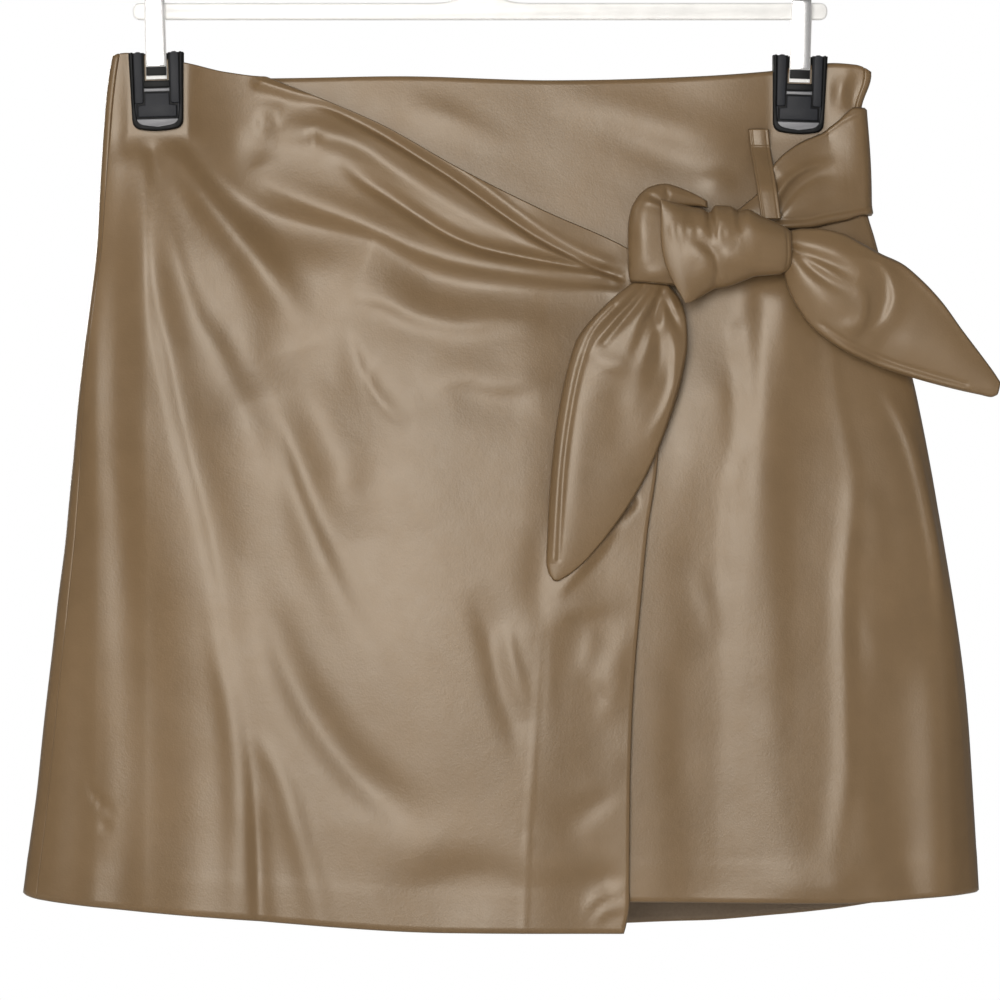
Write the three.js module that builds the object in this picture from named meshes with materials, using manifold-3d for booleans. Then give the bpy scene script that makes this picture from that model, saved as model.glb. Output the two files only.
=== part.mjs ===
// A faux-leather wrap mini skirt with a knotted tie, hanging from the two clips of a plastic hanger.
// Millimetres. +Z is up and the front faces -Y. The origin is the inner top of the hook, where a rail
// carries it. The cloth is a set of thin walls round one flattened tube: a back, an under front and an
// outer front that wraps over it and is gathered into the knot.

import * as THREE from "three";
import { mergeVertices } from "three/addons/utils/BufferGeometryUtils.js";
import Module from "manifold-3d";

const wasm = await Module();
wasm.setup();

// Cloth sizes.
const CLOTH = 1.3; // one layer
const FACED_FRONT = 2.6; // the under front at the waist, where it is faced
const FACED_BACK = 1.7; // the back at the waist
const FACING_DEPTH = 45; // how far the facing reaches down from the waist
const FACING_FADE = 8;
const FACING_INSET = 0.25; // how far from a side edge it starts, as the sine of the angle round the tube
const FRONT_FACING = { x: 60, fades: 60 }; // the under front's facing starts here and grows to the right
const TIE = 2.6; // a tie end, which is sewn double
const UNDERLAP = 3.2; // how far the under front lies behind the wrap
const UNDERLAP_CLAMPED = 1.75; // the same between a clip's jaws
const SEAM_GAP = 0.8;

// The garment as a flattened tube: the side edges and the depth of each half, down from the waist.
const BODY = [
  { z: -80, left: -183.5, right: 194, front: 7, back: 6 },
  { z: -92, left: -185.5, right: 196, front: 8, back: 7 },
  { z: -110, left: -187.5, right: 191, front: 10, back: 9 },
  { z: -155, left: -190.5, right: 193, front: 15, back: 13 },
  { z: -175, left: -191.5, right: 198, front: 17, back: 15 },
  { z: -205, left: -195, right: 206, front: 20, back: 19 },
  { z: -255, left: -201, right: 219, front: 25, back: 25 },
  { z: -305, left: -205.5, right: 228.5, front: 29, back: 30 },
  { z: -405, left: -217, right: 243.5, front: 34, back: 36 },
  { z: -455, left: -222.5, right: 247, front: 35, back: 38 },
  { z: -525, left: -232, right: 251, front: 36, back: 40 },
];
const ROUNDNESS = 0.85; // 1 is an ellipse, less is flatter in the middle
const EDGE_FOLD = 2; // the radius of the cloth's turn at each side edge

// The waist edge, from the left side to the right. It sags between the clips.
const WAIST = [
  { x: -190, z: -84 },
  { x: -177, z: -81.5 },
  { x: -160, z: -84 },
  { x: -145, z: -87 },
  { x: -127, z: -91.5 },
  { x: -107, z: -94 },
  { x: -40, z: -93 },
  { x: 35, z: -95 },
  { x: 110, z: -93.5 },
  { x: 142, z: -91.5 },
  { x: 160, z: -89 },
  { x: 178, z: -87 },
  { x: 188, z: -87.5 },
  { x: 197, z: -91 },
];
const WRAP_LEAVES_WAIST = -107; // where the wrap's edge turns down from the waist to the knot
const WRAP_EDGE = [
  { x: -107, z: -94 },
  { x: -90, z: -101 },
  { x: -50, z: -118 },
  { x: -10, z: -140.5 },
  { x: 30, z: -160.5 },
  { x: 72, z: -179 },
  { x: 93, z: -193 },
];
// The wrap's free edge, from the knot down to the hem corner.
const WRAP_SIDE = [
  { z: -193, x: 92 },
  { z: -250, x: 90.5 },
  { z: -290, x: 87.5 },
  { z: -320, x: 83 },
  { z: -350, x: 80 },
  { z: -385, x: 76.8 },
  { z: -415, x: 75 },
  { z: -455, x: 74 },
  { z: -505, x: 73.5 },
  { z: -520, x: 71 },
];
const WRAP_HEM = [
  { x: -232, z: -500.5 },
  { x: -221, z: -503.5 },
  { x: -180, z: -508 },
  { x: -120, z: -512.5 },
  { x: -14, z: -519 },
  { x: 75, z: -519.5 },
];
const UNDER_HEM = [
  { x: -232, z: -500 },
  { x: -150, z: -504 },
  { x: 70, z: -504 },
  { x: 176, z: -505 },
  { x: 235, z: -501.5 },
  { x: 252, z: -500 },
];
const BACK_HEM = [
  { x: -232, z: -500.5 },
  { x: -221, z: -503.5 },
  { x: -120, z: -514 },
  { x: 40, z: -519 },
  { x: 110, z: -517 },
  { x: 176, z: -511 },
  { x: 235, z: -501.5 },
  { x: 252, z: -500 },
];

// Side seams, as angles round the tube: 0 is the right edge, PI the left edge, and the front is between.
const LEFT_SEAM = [
  { z: -525, turn: Math.PI - 0.26 },
  { z: -400, turn: Math.PI - 0.235 },
  { z: -250, turn: Math.PI - 0.19 },
  { z: -80, turn: Math.PI - 0.18 },
];
const RIGHT_SEAM = [
  { z: -525, turn: -0.14 },
  { z: -260, turn: 0.05 },
  { z: -80, turn: 0.2 },
];
const UNDER_LEFT_END = Math.PI - 0.36;
const UNDER_TOP_DROP = 1.5; // how far it ends below the wrap's waist edge
const UNDER_SHOWS = { x: 92, fades: 70, folds: 80, foldsFade: 25 }; // where it comes out level, and folds
const UNDER_KNOT = { x: 68, fadesX: 16, z: -215, fadesZ: 12, flat: 0.6 }; // where the knot presses the wrap

// The clips, which press the cloth flat. Each leans a little, by an angle in radians.
const CLIPS = [
  { side: "left", x: -161.5, drop: 0, lean: 0.03 },
  { side: "right", x: 159.5, drop: 1.6, lean: -0.03 },
];
const CLIP = { wide: 27.6, top: -81, bottom: -120.4, corner: 6, rim: 2.4 };
const CLAMPED = { front: 2.8, back: 2.3, reachX: 42, reachZ: 70, margin: 2 };
const JAW_GAP = 0.35;
const JAW = { plate: 1.6, raised: 1.9, backRaised: 1 };

// Soft folds: each runs from (x0, z0) to (x1, z1), bowed sideways, wide at both ends and high at both.
const LONG_FOLDS = [
  { x0: -189, z0: -140, x1: -187, z1: -512, bow: 0, wide0: 5, wide1: 8, high0: 1.5, high1: 3 },
  { x0: -166, z0: -122, x1: -118, z1: -518, bow: -9, wide0: 5, wide1: 10, high0: 2, high1: 3.5 },
  { x0: -160, z0: -124, x1: -57, z1: -522, bow: 5, wide0: 5, wide1: 10, high0: 2, high1: 3.5 },
  { x0: -152, z0: -122, x1: -6, z1: -525, bow: 20, wide0: 5, wide1: 15, high0: 2, high1: 3 },
  { x0: 34, z0: -290, x1: 30, z1: -525, bow: 4, wide0: 10, wide1: 12, high0: 0, high1: 2.5 },
];
const WRAP_GATHERS = [
  { x0: -92, z0: -104, x1: 76, z1: -193, bow: 1.5, wide0: 3, wide1: 3.4, high0: 1.5, high1: 4 },
  { x0: -80, z0: -122, x1: 66, z1: -190, bow: -3, wide0: 7, wide1: 3.5, high0: 1.8, high1: 3 },
  { x0: -95, z0: -140, x1: 73, z1: -199, bow: -10, wide0: 7, wide1: 4, high0: 1.5, high1: 3 },
];
const UNDER_FOLDS = [
  { x0: 107, z0: -205, x1: 99, z1: -512, bow: 0, wide0: 7, wide1: 10, high0: 0.5, high1: 2 },
  { x0: 139, z0: -190, x1: 128, z1: -512, bow: 0, wide0: 6, wide1: 9, high0: 2, high1: 3.5 },
  { x0: 168, z0: -205, x1: 172, z1: -512, bow: 8, wide0: 6, wide1: 9, high0: 2, high1: 3.5 },
  { x0: 194, z0: -205, x1: 218, z1: -505, bow: 12, wide0: 5, wide1: 9, high0: 2, high1: 3 },
];
const BACK_FOLDS = [
  { x0: -158, z0: -125, x1: -178, z1: -510, bow: 0, wide0: 6, wide1: 10, high0: 1.5, high1: 3.5 },
  { x0: -150, z0: -125, x1: -92, z1: -515, bow: -10, wide0: 6, wide1: 12, high0: 1.5, high1: 3.5 },
  { x0: -20, z0: -240, x1: -8, z1: -518, bow: 0, wide0: 12, wide1: 14, high0: 0, high1: 3 },
  { x0: 150, z0: -125, x1: 88, z1: -518, bow: 10, wide0: 6, wide1: 12, high0: 1.5, high1: 3.5 },
  { x0: 160, z0: -125, x1: 196, z1: -505, bow: 0, wide0: 6, wide1: 10, high0: 1.5, high1: 3.5 },
];

// The hanging tie end: its two edges, how far its middle stands in front of the tube, and its bulge.
const TAIL_DOWN = [
  { lx: 79, lz: -198.8, rx: 93, rz: -201.5, y: -26.7, crown: 4 },
  { lx: 73, lz: -202, rx: 98, rz: -208, y: -27.7, crown: 5 },
  { lx: 60, lz: -212, rx: 102, rz: -219, y: -29.7, crown: 6 },
  { lx: 51, lz: -225, rx: 103, rz: -228, y: -30.7, crown: 6 },
  { lx: 46, lz: -241, rx: 100.5, rz: -242, y: -31.7, crown: 6 },
  { lx: 39, lz: -275, rx: 90, rz: -275, y: -33.7, crown: 5 },
  { lx: 36, lz: -296, rx: 80, rz: -296, y: -34.7, crown: 4 },
  { lx: 34, lz: -316, rx: 67, rz: -316, y: -34.7, crown: 3 },
  { lx: 33, lz: -331, rx: 54.5, rz: -332, y: -34.7, crown: 2 },
  { lx: 34.5, lz: -343, rx: 42, rz: -344, y: -34.7, crown: 1 },
];
// The tie end that points to the side: the same, with its upper and lower edges.
const TAIL_SIDE = [
  { lx: 155.8, lz: -171, rx: 155.7, rz: -189, y: -24.5, crown: 4 },
  { lx: 160, lz: -170, rx: 155, rz: -196, y: -25, crown: 5 },
  { lx: 167, lz: -170, rx: 156.5, rz: -205, y: -26, crown: 6 },
  { lx: 179, lz: -172.5, rx: 166, rz: -218, y: -26, crown: 7 },
  { lx: 191, lz: -177.5, rx: 180, rz: -231, y: -25, crown: 7 },
  { lx: 204, lz: -185, rx: 195, rz: -238.5, y: -23, crown: 6 },
  { lx: 218, lz: -196, rx: 210, rz: -243.5, y: -21, crown: 5 },
  { lx: 231, lz: -212, rx: 228, rz: -248.5, y: -19, crown: 4 },
  { lx: 244, lz: -228, rx: 241.5, rz: -252, y: -17, crown: 2.5 },
  { lx: 256.5, lz: -245, rx: 255, rz: -253, y: -16, crown: 1 },
];
// Pleats of a tie end, which fade away from the knot: where they lie across it, 0 to 1.
const TAIL_DOWN_PLEATS = [
  { across: 0.05, wide: 0.05, high: 2.2, fades: 3 },
  { across: 0.3, wide: 0.08, high: 2.6, fades: 0.35 },
  { across: 0.58, wide: 0.08, high: 2.6, fades: 0.45 },
  { across: 0.85, wide: 0.08, high: 2.2, fades: 0.4 },
];
const TAIL_SIDE_PLEATS = [
  { across: 0.2, wide: 0.1, high: 2.5, fades: 0.5 },
  { across: 0.52, wide: 0.09, high: 2.5, fades: 0.4 },
  { across: 0.8, wide: 0.1, high: 2.5, fades: 0.5 },
];

// The sash from the right side into the knot: its upper and lower edges, read along the tube's x.
const SASH = [
  { x: 128, top: -160.5, bottom: -164, stands: 4 },
  { x: 133, top: -157, bottom: -167, stands: 5 },
  { x: 139, top: -152, bottom: -169, stands: 5.5 },
  { x: 148, top: -137.5, bottom: -169.5, stands: 5.5 },
  { x: 160, top: -128, bottom: -168.8, stands: 4.5 },
  { x: 171, top: -122.8, bottom: -166.5, stands: 3.5 },
  { x: 183, top: -114, bottom: -164, stands: 3 },
];
const SASH_SIDE = { top: -109.5, bottom: -162, stands: 2.9 };
const SASH_TURNS = { knot: 0.85, side: 0.35, back: 0.2, sewn: -0.4 }; // angles round the tube along it
const SASH_THICK = 2.2;
const SASH_BELLY = 1.2;
const SASH_PLEAT = { x0: 146, z0: -161, x1: 174, z1: -134, bow: 4, wide0: 3, wide1: 5, high0: 2.4, high1: 0.6 };

// The belt loop, as a strip down the front.
const BELT_LOOP = { wide: 9, thick: 1.5 };
const BELT_LOOP_PATH = [
  { x: 139.3, z: -120, stands: 2 },
  { x: 140, z: -127, stands: 2.2 },
  { x: 142, z: -141, stands: 9 },
  { x: 143.5, z: -153, stands: 12.5 },
  { x: 144.3, z: -161, stands: 12.5 },
];

// The knot: two rolls of gathered cloth, by the centre, half width and half depth of each section.
const KNOT_LOOP = [
  { x: 84.5, z: -197.5, y: -25.8, wide: 9.5, deep: 6.5 },
  { x: 84.2, z: -194, y: -26.8, wide: 10.5, deep: 8 },
  { x: 83.2, z: -184, y: -27.8, wide: 10, deep: 9 },
  { x: 82.6, z: -172, y: -27.8, wide: 9.4, deep: 9 },
  { x: 83.5, z: -163, y: -27.6, wide: 8.6, deep: 8.5 },
  { x: 88.5, z: -156.2, y: -26.4, wide: 6.4, deep: 7.5 },
  { x: 97, z: -154.6, y: -24.8, wide: 4, deep: 6 },
  { x: 107, z: -156.6, y: -23, wide: 2.8, deep: 4.5 },
  { x: 114, z: -158.8, y: -22.2, wide: 1.6, deep: 3 },
];
const KNOT_BODY = [
  { x: 95.6, z: -181.5, y: -26.5, wide: 14, deep: 5 },
  { x: 97.5, z: -181.5, y: -27.3, wide: 18, deep: 8.5 },
  { x: 102, z: -182.5, y: -28.5, wide: 22.5, deep: 11 },
  { x: 110, z: -181.5, y: -28.5, wide: 21.5, deep: 11.5 },
  { x: 119, z: -179.5, y: -28, wide: 19.5, deep: 11 },
  { x: 131, z: -177.5, y: -27.5, wide: 17, deep: 10.5 },
  { x: 143, z: -178.5, y: -27, wide: 13.6, deep: 9.5 },
  { x: 151, z: -179.6, y: -26.5, wide: 11, deep: 8 },
  { x: 154.4, z: -180, y: -26.5, wide: 8.5, deep: 5.5 },
];

// The hanger: a bar with a tongue into each clip, and a hook.
const BAR = { half: 174, top: -56, bottom: -64.5, thick: 4.4 };
const TONGUE = { wide: 10.4, bottom: -94.4, thick: 1.2, root: 7 };
const NECK = { half: 24, rise: 14, waist: 4 };
const HOOK = { rod: 2.7, inner: 17, shaftBottom: -48, tip: 0.5 };

const COLOURS = {
  cloth: { color: 0x8c765d, roughness: 0.45, metalness: 0 },
  clip: { color: 0x17181a, roughness: 0.35, metalness: 0 },
  steel: { color: 0x9a9ca0, roughness: 0.3, metalness: 1 },
  hanger: { color: 0xf2f2f0, roughness: 0.4, metalness: 0 },
};

const mix = (a, b, t) => a + (b - a) * t;
const clamp01 = (t) => Math.min(1, Math.max(0, t));
const smooth = (t) => clamp01(t) ** 2 * (3 - 2 * clamp01(t));

// A curve through the rows of a table that never overshoots them: column read at a place along `by`.
function through(rows, by, column) {
  const sorted = [...rows].sort((a, b) => a[by] - b[by]);
  const p = sorted.map((row) => row[by]);
  const q = sorted.map((row) => row[column]);
  const last = p.length - 1;
  const slope = p.slice(1).map((at, i) => (q[i + 1] - q[i]) / (at - p[i]));
  const tangent = p.map((_, i) => {
    if (i === 0) return slope[0];
    if (i === last) return slope[last - 1];
    const [a, b] = [slope[i - 1], slope[i]];
    return a * b <= 0 ? 0 : (2 * a * b) / (a + b);
  });
  return (at) => {
    if (at <= p[0]) return q[0];
    if (at >= p[last]) return q[last];
    const i = p.findLastIndex((place) => place <= at);
    const h = p[i + 1] - p[i];
    const t = (at - p[i]) / h;
    const [t2, t3] = [t * t, t * t * t];
    return (
      q[i] * (2 * t3 - 3 * t2 + 1) +
      h * tangent[i] * (t3 - 2 * t2 + t) +
      q[i + 1] * (3 * t2 - 2 * t3) +
      h * tangent[i + 1] * (t3 - t2)
    );
  };
}

// The columns of a table as curves along `by`, or along its row numbers from 0 to 1.
function columns(rows, by, ...names) {
  const placed = by ? rows : rows.map((row, i) => ({ ...row, share: i / (rows.length - 1) }));
  return Object.fromEntries(names.map((name) => [name, through(placed, by ?? "share", name)]));
}

const body = columns(BODY, "z", "left", "right", "front", "back");
const waist = through(WAIST, "x", "z");
const leftSeam = through(LEFT_SEAM, "z", "turn");
const rightSeam = through(RIGHT_SEAM, "z", "turn");

// How much a clip flattens the cloth at a place: 1 between its jaws, falling to 0 round them.
function clampedAt(x, z) {
  const shares = CLIPS.map((clip) => {
    const aside = Math.max(0, Math.abs(x - clip.x) - CLIP.wide / 2 - CLAMPED.margin);
    const below = Math.max(0, CLIP.bottom - clip.drop - CLAMPED.margin - z);
    return 1 - smooth(Math.hypot(aside / CLAMPED.reachX, below / CLAMPED.reachZ));
  });
  return Math.max(...shares);
}

// A point of the tube at an angle round it and a height, before folds.
function tubePoint(turn, z) {
  const [left, right] = [body.left(z), body.right(z)];
  const side = Math.sin(turn);
  const x = (left + right) / 2 + ((right - left) / 2) * Math.cos(turn);
  const half = side >= 0 ? "front" : "back";
  const inset = Math.min(EDGE_FOLD, Math.min(x - left, right - x));
  const fold = Math.sqrt(inset * (2 * EDGE_FOLD - inset));
  const free = fold + (body[half](z) - EDGE_FOLD) * Math.abs(side) ** ROUNDNESS;
  const pressed = fold * (CLAMPED[half] / EDGE_FOLD);
  const depth = mix(free, pressed, clampedAt(x, z));
  return new THREE.Vector3(x, side >= 0 ? -depth : depth, z);
}

function tubeNormal(turn, z) {
  const [step, drop] = [2e-3, 0.5];
  const round = tubePoint(turn + step, z).sub(tubePoint(turn - step, z));
  const down = tubePoint(turn, z + drop).sub(tubePoint(turn, z - drop));
  return down.cross(round).normalize();
}

// The angle round the tube of a place on its front.
function turnAt(x, z) {
  const [left, right] = [body.left(z), body.right(z)];
  const share = (x - (left + right) / 2) / ((right - left) / 2);
  return Math.acos(Math.min(1, Math.max(-1, share)));
}

// The height that a table of folds gives at a place, from the distance to each fold's bowed line.
const FOLD_STEPS = 24;
function foldLine({ x0, z0, x1, z1, bow }, t) {
  const length = Math.hypot(x1 - x0, z1 - z0);
  const lean = 4 * t * (1 - t) * bow;
  return [mix(x0, x1, t) - ((z1 - z0) / length) * lean, mix(z0, z1, t) + ((x1 - x0) / length) * lean];
}
function foldHeight(folds, x, z) {
  let height = 0;
  for (const fold of folds) {
    let [nearest, at] = [Infinity, 0];
    for (let i = 0; i <= FOLD_STEPS; i++) {
      const [fx, fz] = foldLine(fold, i / FOLD_STEPS);
      const away = Math.hypot(x - fx, z - fz);
      if (away < nearest) [nearest, at] = [away, i / FOLD_STEPS];
    }
    const wide = mix(fold.wide0, fold.wide1, at);
    height += mix(fold.high0, fold.high1, at) * Math.exp(-((nearest / wide) ** 2) / 2);
  }
  return height;
}

// A closed wall: outer and inner are grids of points with the same rows and columns.
function wall(outer, inner) {
  const [rows, cols] = [outer.length, outer[0].length];
  const points = [...outer.flat(), ...inner.flat()];
  const at = (side, i, j) => side * rows * cols + i * cols + j;
  const faces = [];
  const quad = (a, b, c, d) => faces.push(a, b, c, a, c, d);
  for (let i = 0; i + 1 < rows; i++) {
    for (let j = 0; j + 1 < cols; j++) {
      quad(at(0, i, j), at(0, i + 1, j), at(0, i + 1, j + 1), at(0, i, j + 1));
      quad(at(1, i, j), at(1, i, j + 1), at(1, i + 1, j + 1), at(1, i + 1, j));
    }
  }
  for (let j = 0; j + 1 < cols; j++) {
    quad(at(0, 0, j), at(0, 0, j + 1), at(1, 0, j + 1), at(1, 0, j));
    quad(at(0, rows - 1, j), at(1, rows - 1, j), at(1, rows - 1, j + 1), at(0, rows - 1, j + 1));
  }
  for (let i = 0; i + 1 < rows; i++) {
    quad(at(0, i, 0), at(1, i, 0), at(1, i + 1, 0), at(0, i + 1, 0));
    quad(at(0, i, cols - 1), at(0, i + 1, cols - 1), at(1, i + 1, cols - 1), at(1, i, cols - 1));
  }
  return facingOut(points, faces);
}

// A geometry from points and triangles, turned so that its faces point out.
function facingOut(points, faces) {
  let volume = 0;
  for (let i = 0; i < faces.length; i += 3) {
    const [a, b, c] = [points[faces[i]], points[faces[i + 1]], points[faces[i + 2]]];
    volume += a.dot(new THREE.Vector3().crossVectors(b, c));
  }
  if (volume < 0) faces.reverse();
  return new THREE.BufferGeometry().setFromPoints(points).setIndex(faces);
}

// The height at which a column of a panel meets an edge, given as a height for each x.
function meets(turn, edge, across) {
  let z = edge(0);
  for (let tries = 0; tries < 6; tries++) z = edge(tubePoint(turn(across, z), z).x);
  return z;
}

// A panel of the tube. z(across, down) and turn(across, z) place its points, down and across being shares
// from 0 to 1; level(x, z) is how far it stands out from the tube, and thick(x, z, turn) its wall.
function panel({ rows, cols, spacing = 1, turn, z, level, thick }) {
  const grid = { outer: [], inner: [] };
  for (let i = 0; i <= rows; i++) {
    const down = (i / rows) ** spacing;
    const line = { outer: [], inner: [] };
    for (let j = 0; j <= cols; j++) {
      const height = z(j / cols, down);
      const angle = turn(j / cols, height);
      const place = tubePoint(angle, height);
      const out = tubeNormal(angle, height);
      const stands = level(place.x, height);
      line.outer.push(place.clone().addScaledVector(out, stands));
      line.inner.push(place.clone().addScaledVector(out, stands - thick(place.x, height, angle)));
    }
    grid.outer.push(line.outer);
    grid.inner.push(line.inner);
  }
  return wall(grid.outer, grid.inner);
}

// Half the seam gap as an angle, at a seam near a side edge.
function gapAngle(turn, z) {
  const step = 2e-3;
  return (SEAM_GAP / 2) * (step / tubePoint(turn + step, z).distanceTo(tubePoint(turn, z)));
}

const loose = (x, z) => 1 - clampedAt(x, z);

// How much of the facing's thickness a place near the waist has.
function facedShare(x, z, turn) {
  const below = smooth((FACING_DEPTH + FACING_FADE - waist(x) + z) / FACING_FADE);
  return below * smooth((Math.abs(Math.sin(turn)) - FACING_INSET) / FACING_INSET);
}

function wrapPanel() {
  const edge = through(WRAP_EDGE, "x", "z");
  const hem = through(WRAP_HEM, "x", "z");
  const side = through(WRAP_SIDE, "z", "x");
  const top = (x) => (x < WRAP_LEAVES_WAIST ? waist : edge)(x);
  const turn = (across, z) => mix(leftSeam(z) - gapAngle(leftSeam(z), z), turnAt(side(z), z), across);
  return panel({
    rows: 26,
    cols: 32,
    spacing: 1.5,
    turn,
    z: (across, down) => mix(meets(turn, top, across), meets(turn, hem, across), down),
    level: (x, z) => {
      const under = UNDER_KNOT;
      const pressed = under.flat * smooth((x - under.x) / under.fadesX) * smooth((z - under.z) / under.fadesZ);
      const gathers = (1 - pressed) * foldHeight(WRAP_GATHERS, x, z);
      return loose(x, z) * (foldHeight(LONG_FOLDS, x, z) + gathers);
    },
    thick: () => CLOTH,
  });
}

function underPanel() {
  const hem = through(UNDER_HEM, "x", "z");
  const top = (x) => waist(x) - (x < WRAP_LEAVES_WAIST ? UNDER_TOP_DROP : 0);
  const turn = (across, z) => mix(rightSeam(z) + gapAngle(rightSeam(z), z), UNDER_LEFT_END, across);
  const covered = (x) => 1 - smooth((x - UNDER_SHOWS.x) / UNDER_SHOWS.fades);
  const shown = (x) => smooth((x - UNDER_SHOWS.folds) / UNDER_SHOWS.foldsFade);
  return panel({
    rows: 24,
    cols: 26,
    turn,
    z: (across, down) => mix(meets(turn, top, across), meets(turn, hem, across), down),
    level: (x, z) => {
      const behind = mix(UNDERLAP, UNDERLAP_CLAMPED, clampedAt(x, z)) * covered(x);
      return loose(x, z) * shown(x) * foldHeight(UNDER_FOLDS, x, z) - behind;
    },
    thick: (x, z, turn) => {
      const faced = smooth((x - FRONT_FACING.x) / FRONT_FACING.fades);
      return mix(CLOTH, FACED_FRONT, facedShare(x, z, turn) * faced);
    },
  });
}

function backPanel() {
  const hem = through(BACK_HEM, "x", "z");
  const turn = (across, z) => {
    const first = leftSeam(z) + gapAngle(leftSeam(z), z);
    const last = 2 * Math.PI + rightSeam(z) - gapAngle(rightSeam(z), z);
    return mix(first, last, across);
  };
  return panel({
    rows: 24,
    cols: 30,
    turn,
    z: (across, down) => mix(meets(turn, waist, across), meets(turn, hem, across), down),
    level: (x, z) => loose(x, z) * foldHeight(BACK_FOLDS, x, z),
    thick: (x, z, turn) => mix(CLOTH, FACED_BACK, facedShare(x, z, turn)),
  });
}

// A tie end: a wall between its two edges, crowned across and pleated near the knot.
function tieEnd(sections, pleats, rows, cols) {
  const read = columns(sections, null, "lx", "lz", "rx", "rz", "y", "crown");
  const [outer, inner] = [[], []];
  for (let i = 0; i <= rows; i++) {
    const down = i / rows;
    const line = [];
    for (let j = 0; j <= cols; j++) {
      const across = j / cols;
      const pleated = pleats.reduce((sum, pleat) => {
        const shape = Math.exp(-(((across - pleat.across) / pleat.wide) ** 2) / 2);
        return sum + pleat.high * shape * Math.exp(-((down / pleat.fades) ** 2));
      }, 0);
      const crown = read.crown(down) * Math.sin(Math.PI * across) ** 0.7;
      line.push(
        new THREE.Vector3(
          mix(read.lx(down), read.rx(down), across),
          read.y(down) - crown - pleated,
          mix(read.lz(down), read.rz(down), across),
        ),
      );
    }
    outer.push(line);
    inner.push(line.map((p) => p.clone().add(new THREE.Vector3(0, TIE, 0))));
  }
  return wall(outer, inner);
}

function sash() {
  const rows = 8;
  const cols = 16;
  const read = columns(SASH, "x", "top", "bottom", "stands");
  const [outer, inner] = [[], []];
  for (let i = 0; i <= rows; i++) {
    const line = { outer: [], inner: [] };
    for (let j = 0; j <= cols; j++) {
      const angle = mix(SASH_TURNS.knot, SASH_TURNS.sewn, j / cols);
      const x = tubePoint(angle, (SASH_SIDE.top + SASH_SIDE.bottom) / 2).x;
      const front = smooth((angle - SASH_TURNS.back) / (SASH_TURNS.side - SASH_TURNS.back));
      const top = mix(SASH_SIDE.top, read.top(x), front);
      const bottom = mix(SASH_SIDE.bottom, read.bottom(x), front);
      const z = mix(top, bottom, i / rows);
      const place = tubePoint(angle, z);
      const out = tubeNormal(angle, z);
      const belly = SASH_BELLY * Math.sin((Math.PI * i) / rows);
      const pleat = foldHeight(front > 0 ? [SASH_PLEAT] : BACK_FOLDS, place.x, z);
      const stands = mix(SASH_SIDE.stands, read.stands(x), front) + belly + pleat;
      line.outer.push(place.clone().addScaledVector(out, stands));
      line.inner.push(place.clone().addScaledVector(out, stands - SASH_THICK));
    }
    outer.push(line.outer);
    inner.push(line.inner);
  }
  return wall(outer, inner);
}

function beltLoop() {
  const steps = 8;
  const read = columns(BELT_LOOP_PATH, null, "x", "z", "stands");
  const [outer, inner] = [[], []];
  for (let i = 0; i <= steps; i++) {
    const [x, z, stands] = [read.x(i / steps), read.z(i / steps), read.stands(i / steps)];
    const front = tubePoint(turnAt(x, z), z).y - stands;
    const edges = [-BELT_LOOP.wide / 2, BELT_LOOP.wide / 2];
    outer.push(edges.map((aside) => new THREE.Vector3(x + aside, front, z)));
    inner.push(edges.map((aside) => new THREE.Vector3(x + aside, front + BELT_LOOP.thick, z)));
  }
  return wall(outer, inner);
}

// A roll of cloth through sections that each lie across its path, with flat ends.
function roll(sections, steps, sides) {
  const read = columns(sections, null, "x", "z", "y", "wide", "deep");
  const points = [];
  for (let i = 0; i <= steps; i++) {
    const share = i / steps;
    const [before, after] = [Math.max(0, share - 0.02), Math.min(1, share + 0.02)];
    const [dx, dz] = [read.x(after) - read.x(before), read.z(after) - read.z(before)];
    const length = Math.hypot(dx, dz);
    for (let j = 0; j < sides; j++) {
      const angle = (2 * Math.PI * j) / sides;
      const aside = read.wide(share) * Math.cos(angle);
      points.push(
        new THREE.Vector3(
          read.x(share) - (dz / length) * aside,
          read.y(share) + read.deep(share) * Math.sin(angle),
          read.z(share) + (dx / length) * aside,
        ),
      );
    }
  }
  const faces = [];
  for (let i = 0; i < steps; i++) {
    for (let j = 0; j < sides; j++) {
      const [a, b] = [i * sides + j, i * sides + ((j + 1) % sides)];
      faces.push(a, b, b + sides, a, b + sides, a + sides);
    }
  }
  for (let j = 1; j + 1 < sides; j++) {
    faces.push(0, j + 1, j);
    faces.push(steps * sides, steps * sides + j, steps * sides + j + 1);
  }
  return facingOut(points, faces);
}

// A closed geometry as a solid that can be joined or cut, and back.
function solid(geometry) {
  const bare = geometry.index ? geometry.toNonIndexed() : geometry.clone();
  bare.deleteAttribute("normal");
  bare.deleteAttribute("uv");
  const merged = mergeVertices(bare, 1e-4);
  return new wasm.Manifold(
    new wasm.Mesh({
      numProp: 3,
      vertProperties: merged.attributes.position.array,
      triVerts: new Uint32Array(merged.index.array),
    }),
  );
}
function geometryOf(made) {
  const mesh = made.getMesh();
  return new THREE.BufferGeometry()
    .setAttribute("position", new THREE.BufferAttribute(mesh.vertProperties, 3))
    .setIndex(new THREE.BufferAttribute(mesh.triVerts, 1));
}

// A flat piece from an outline in x and z, between two depths.
function slab(shape, near, far) {
  const cut = new THREE.ExtrudeGeometry(shape, { depth: far - near, bevelEnabled: false, curveSegments: 5 });
  return cut.rotateX(Math.PI / 2).translate(0, far, 0);
}
function block(x0, x1, z0, z1, near, far) {
  const shape = new THREE.Shape();
  shape.moveTo(x0, z0).lineTo(x1, z0).lineTo(x1, z1).lineTo(x0, z1).closePath();
  return slab(shape, near, far);
}

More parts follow.
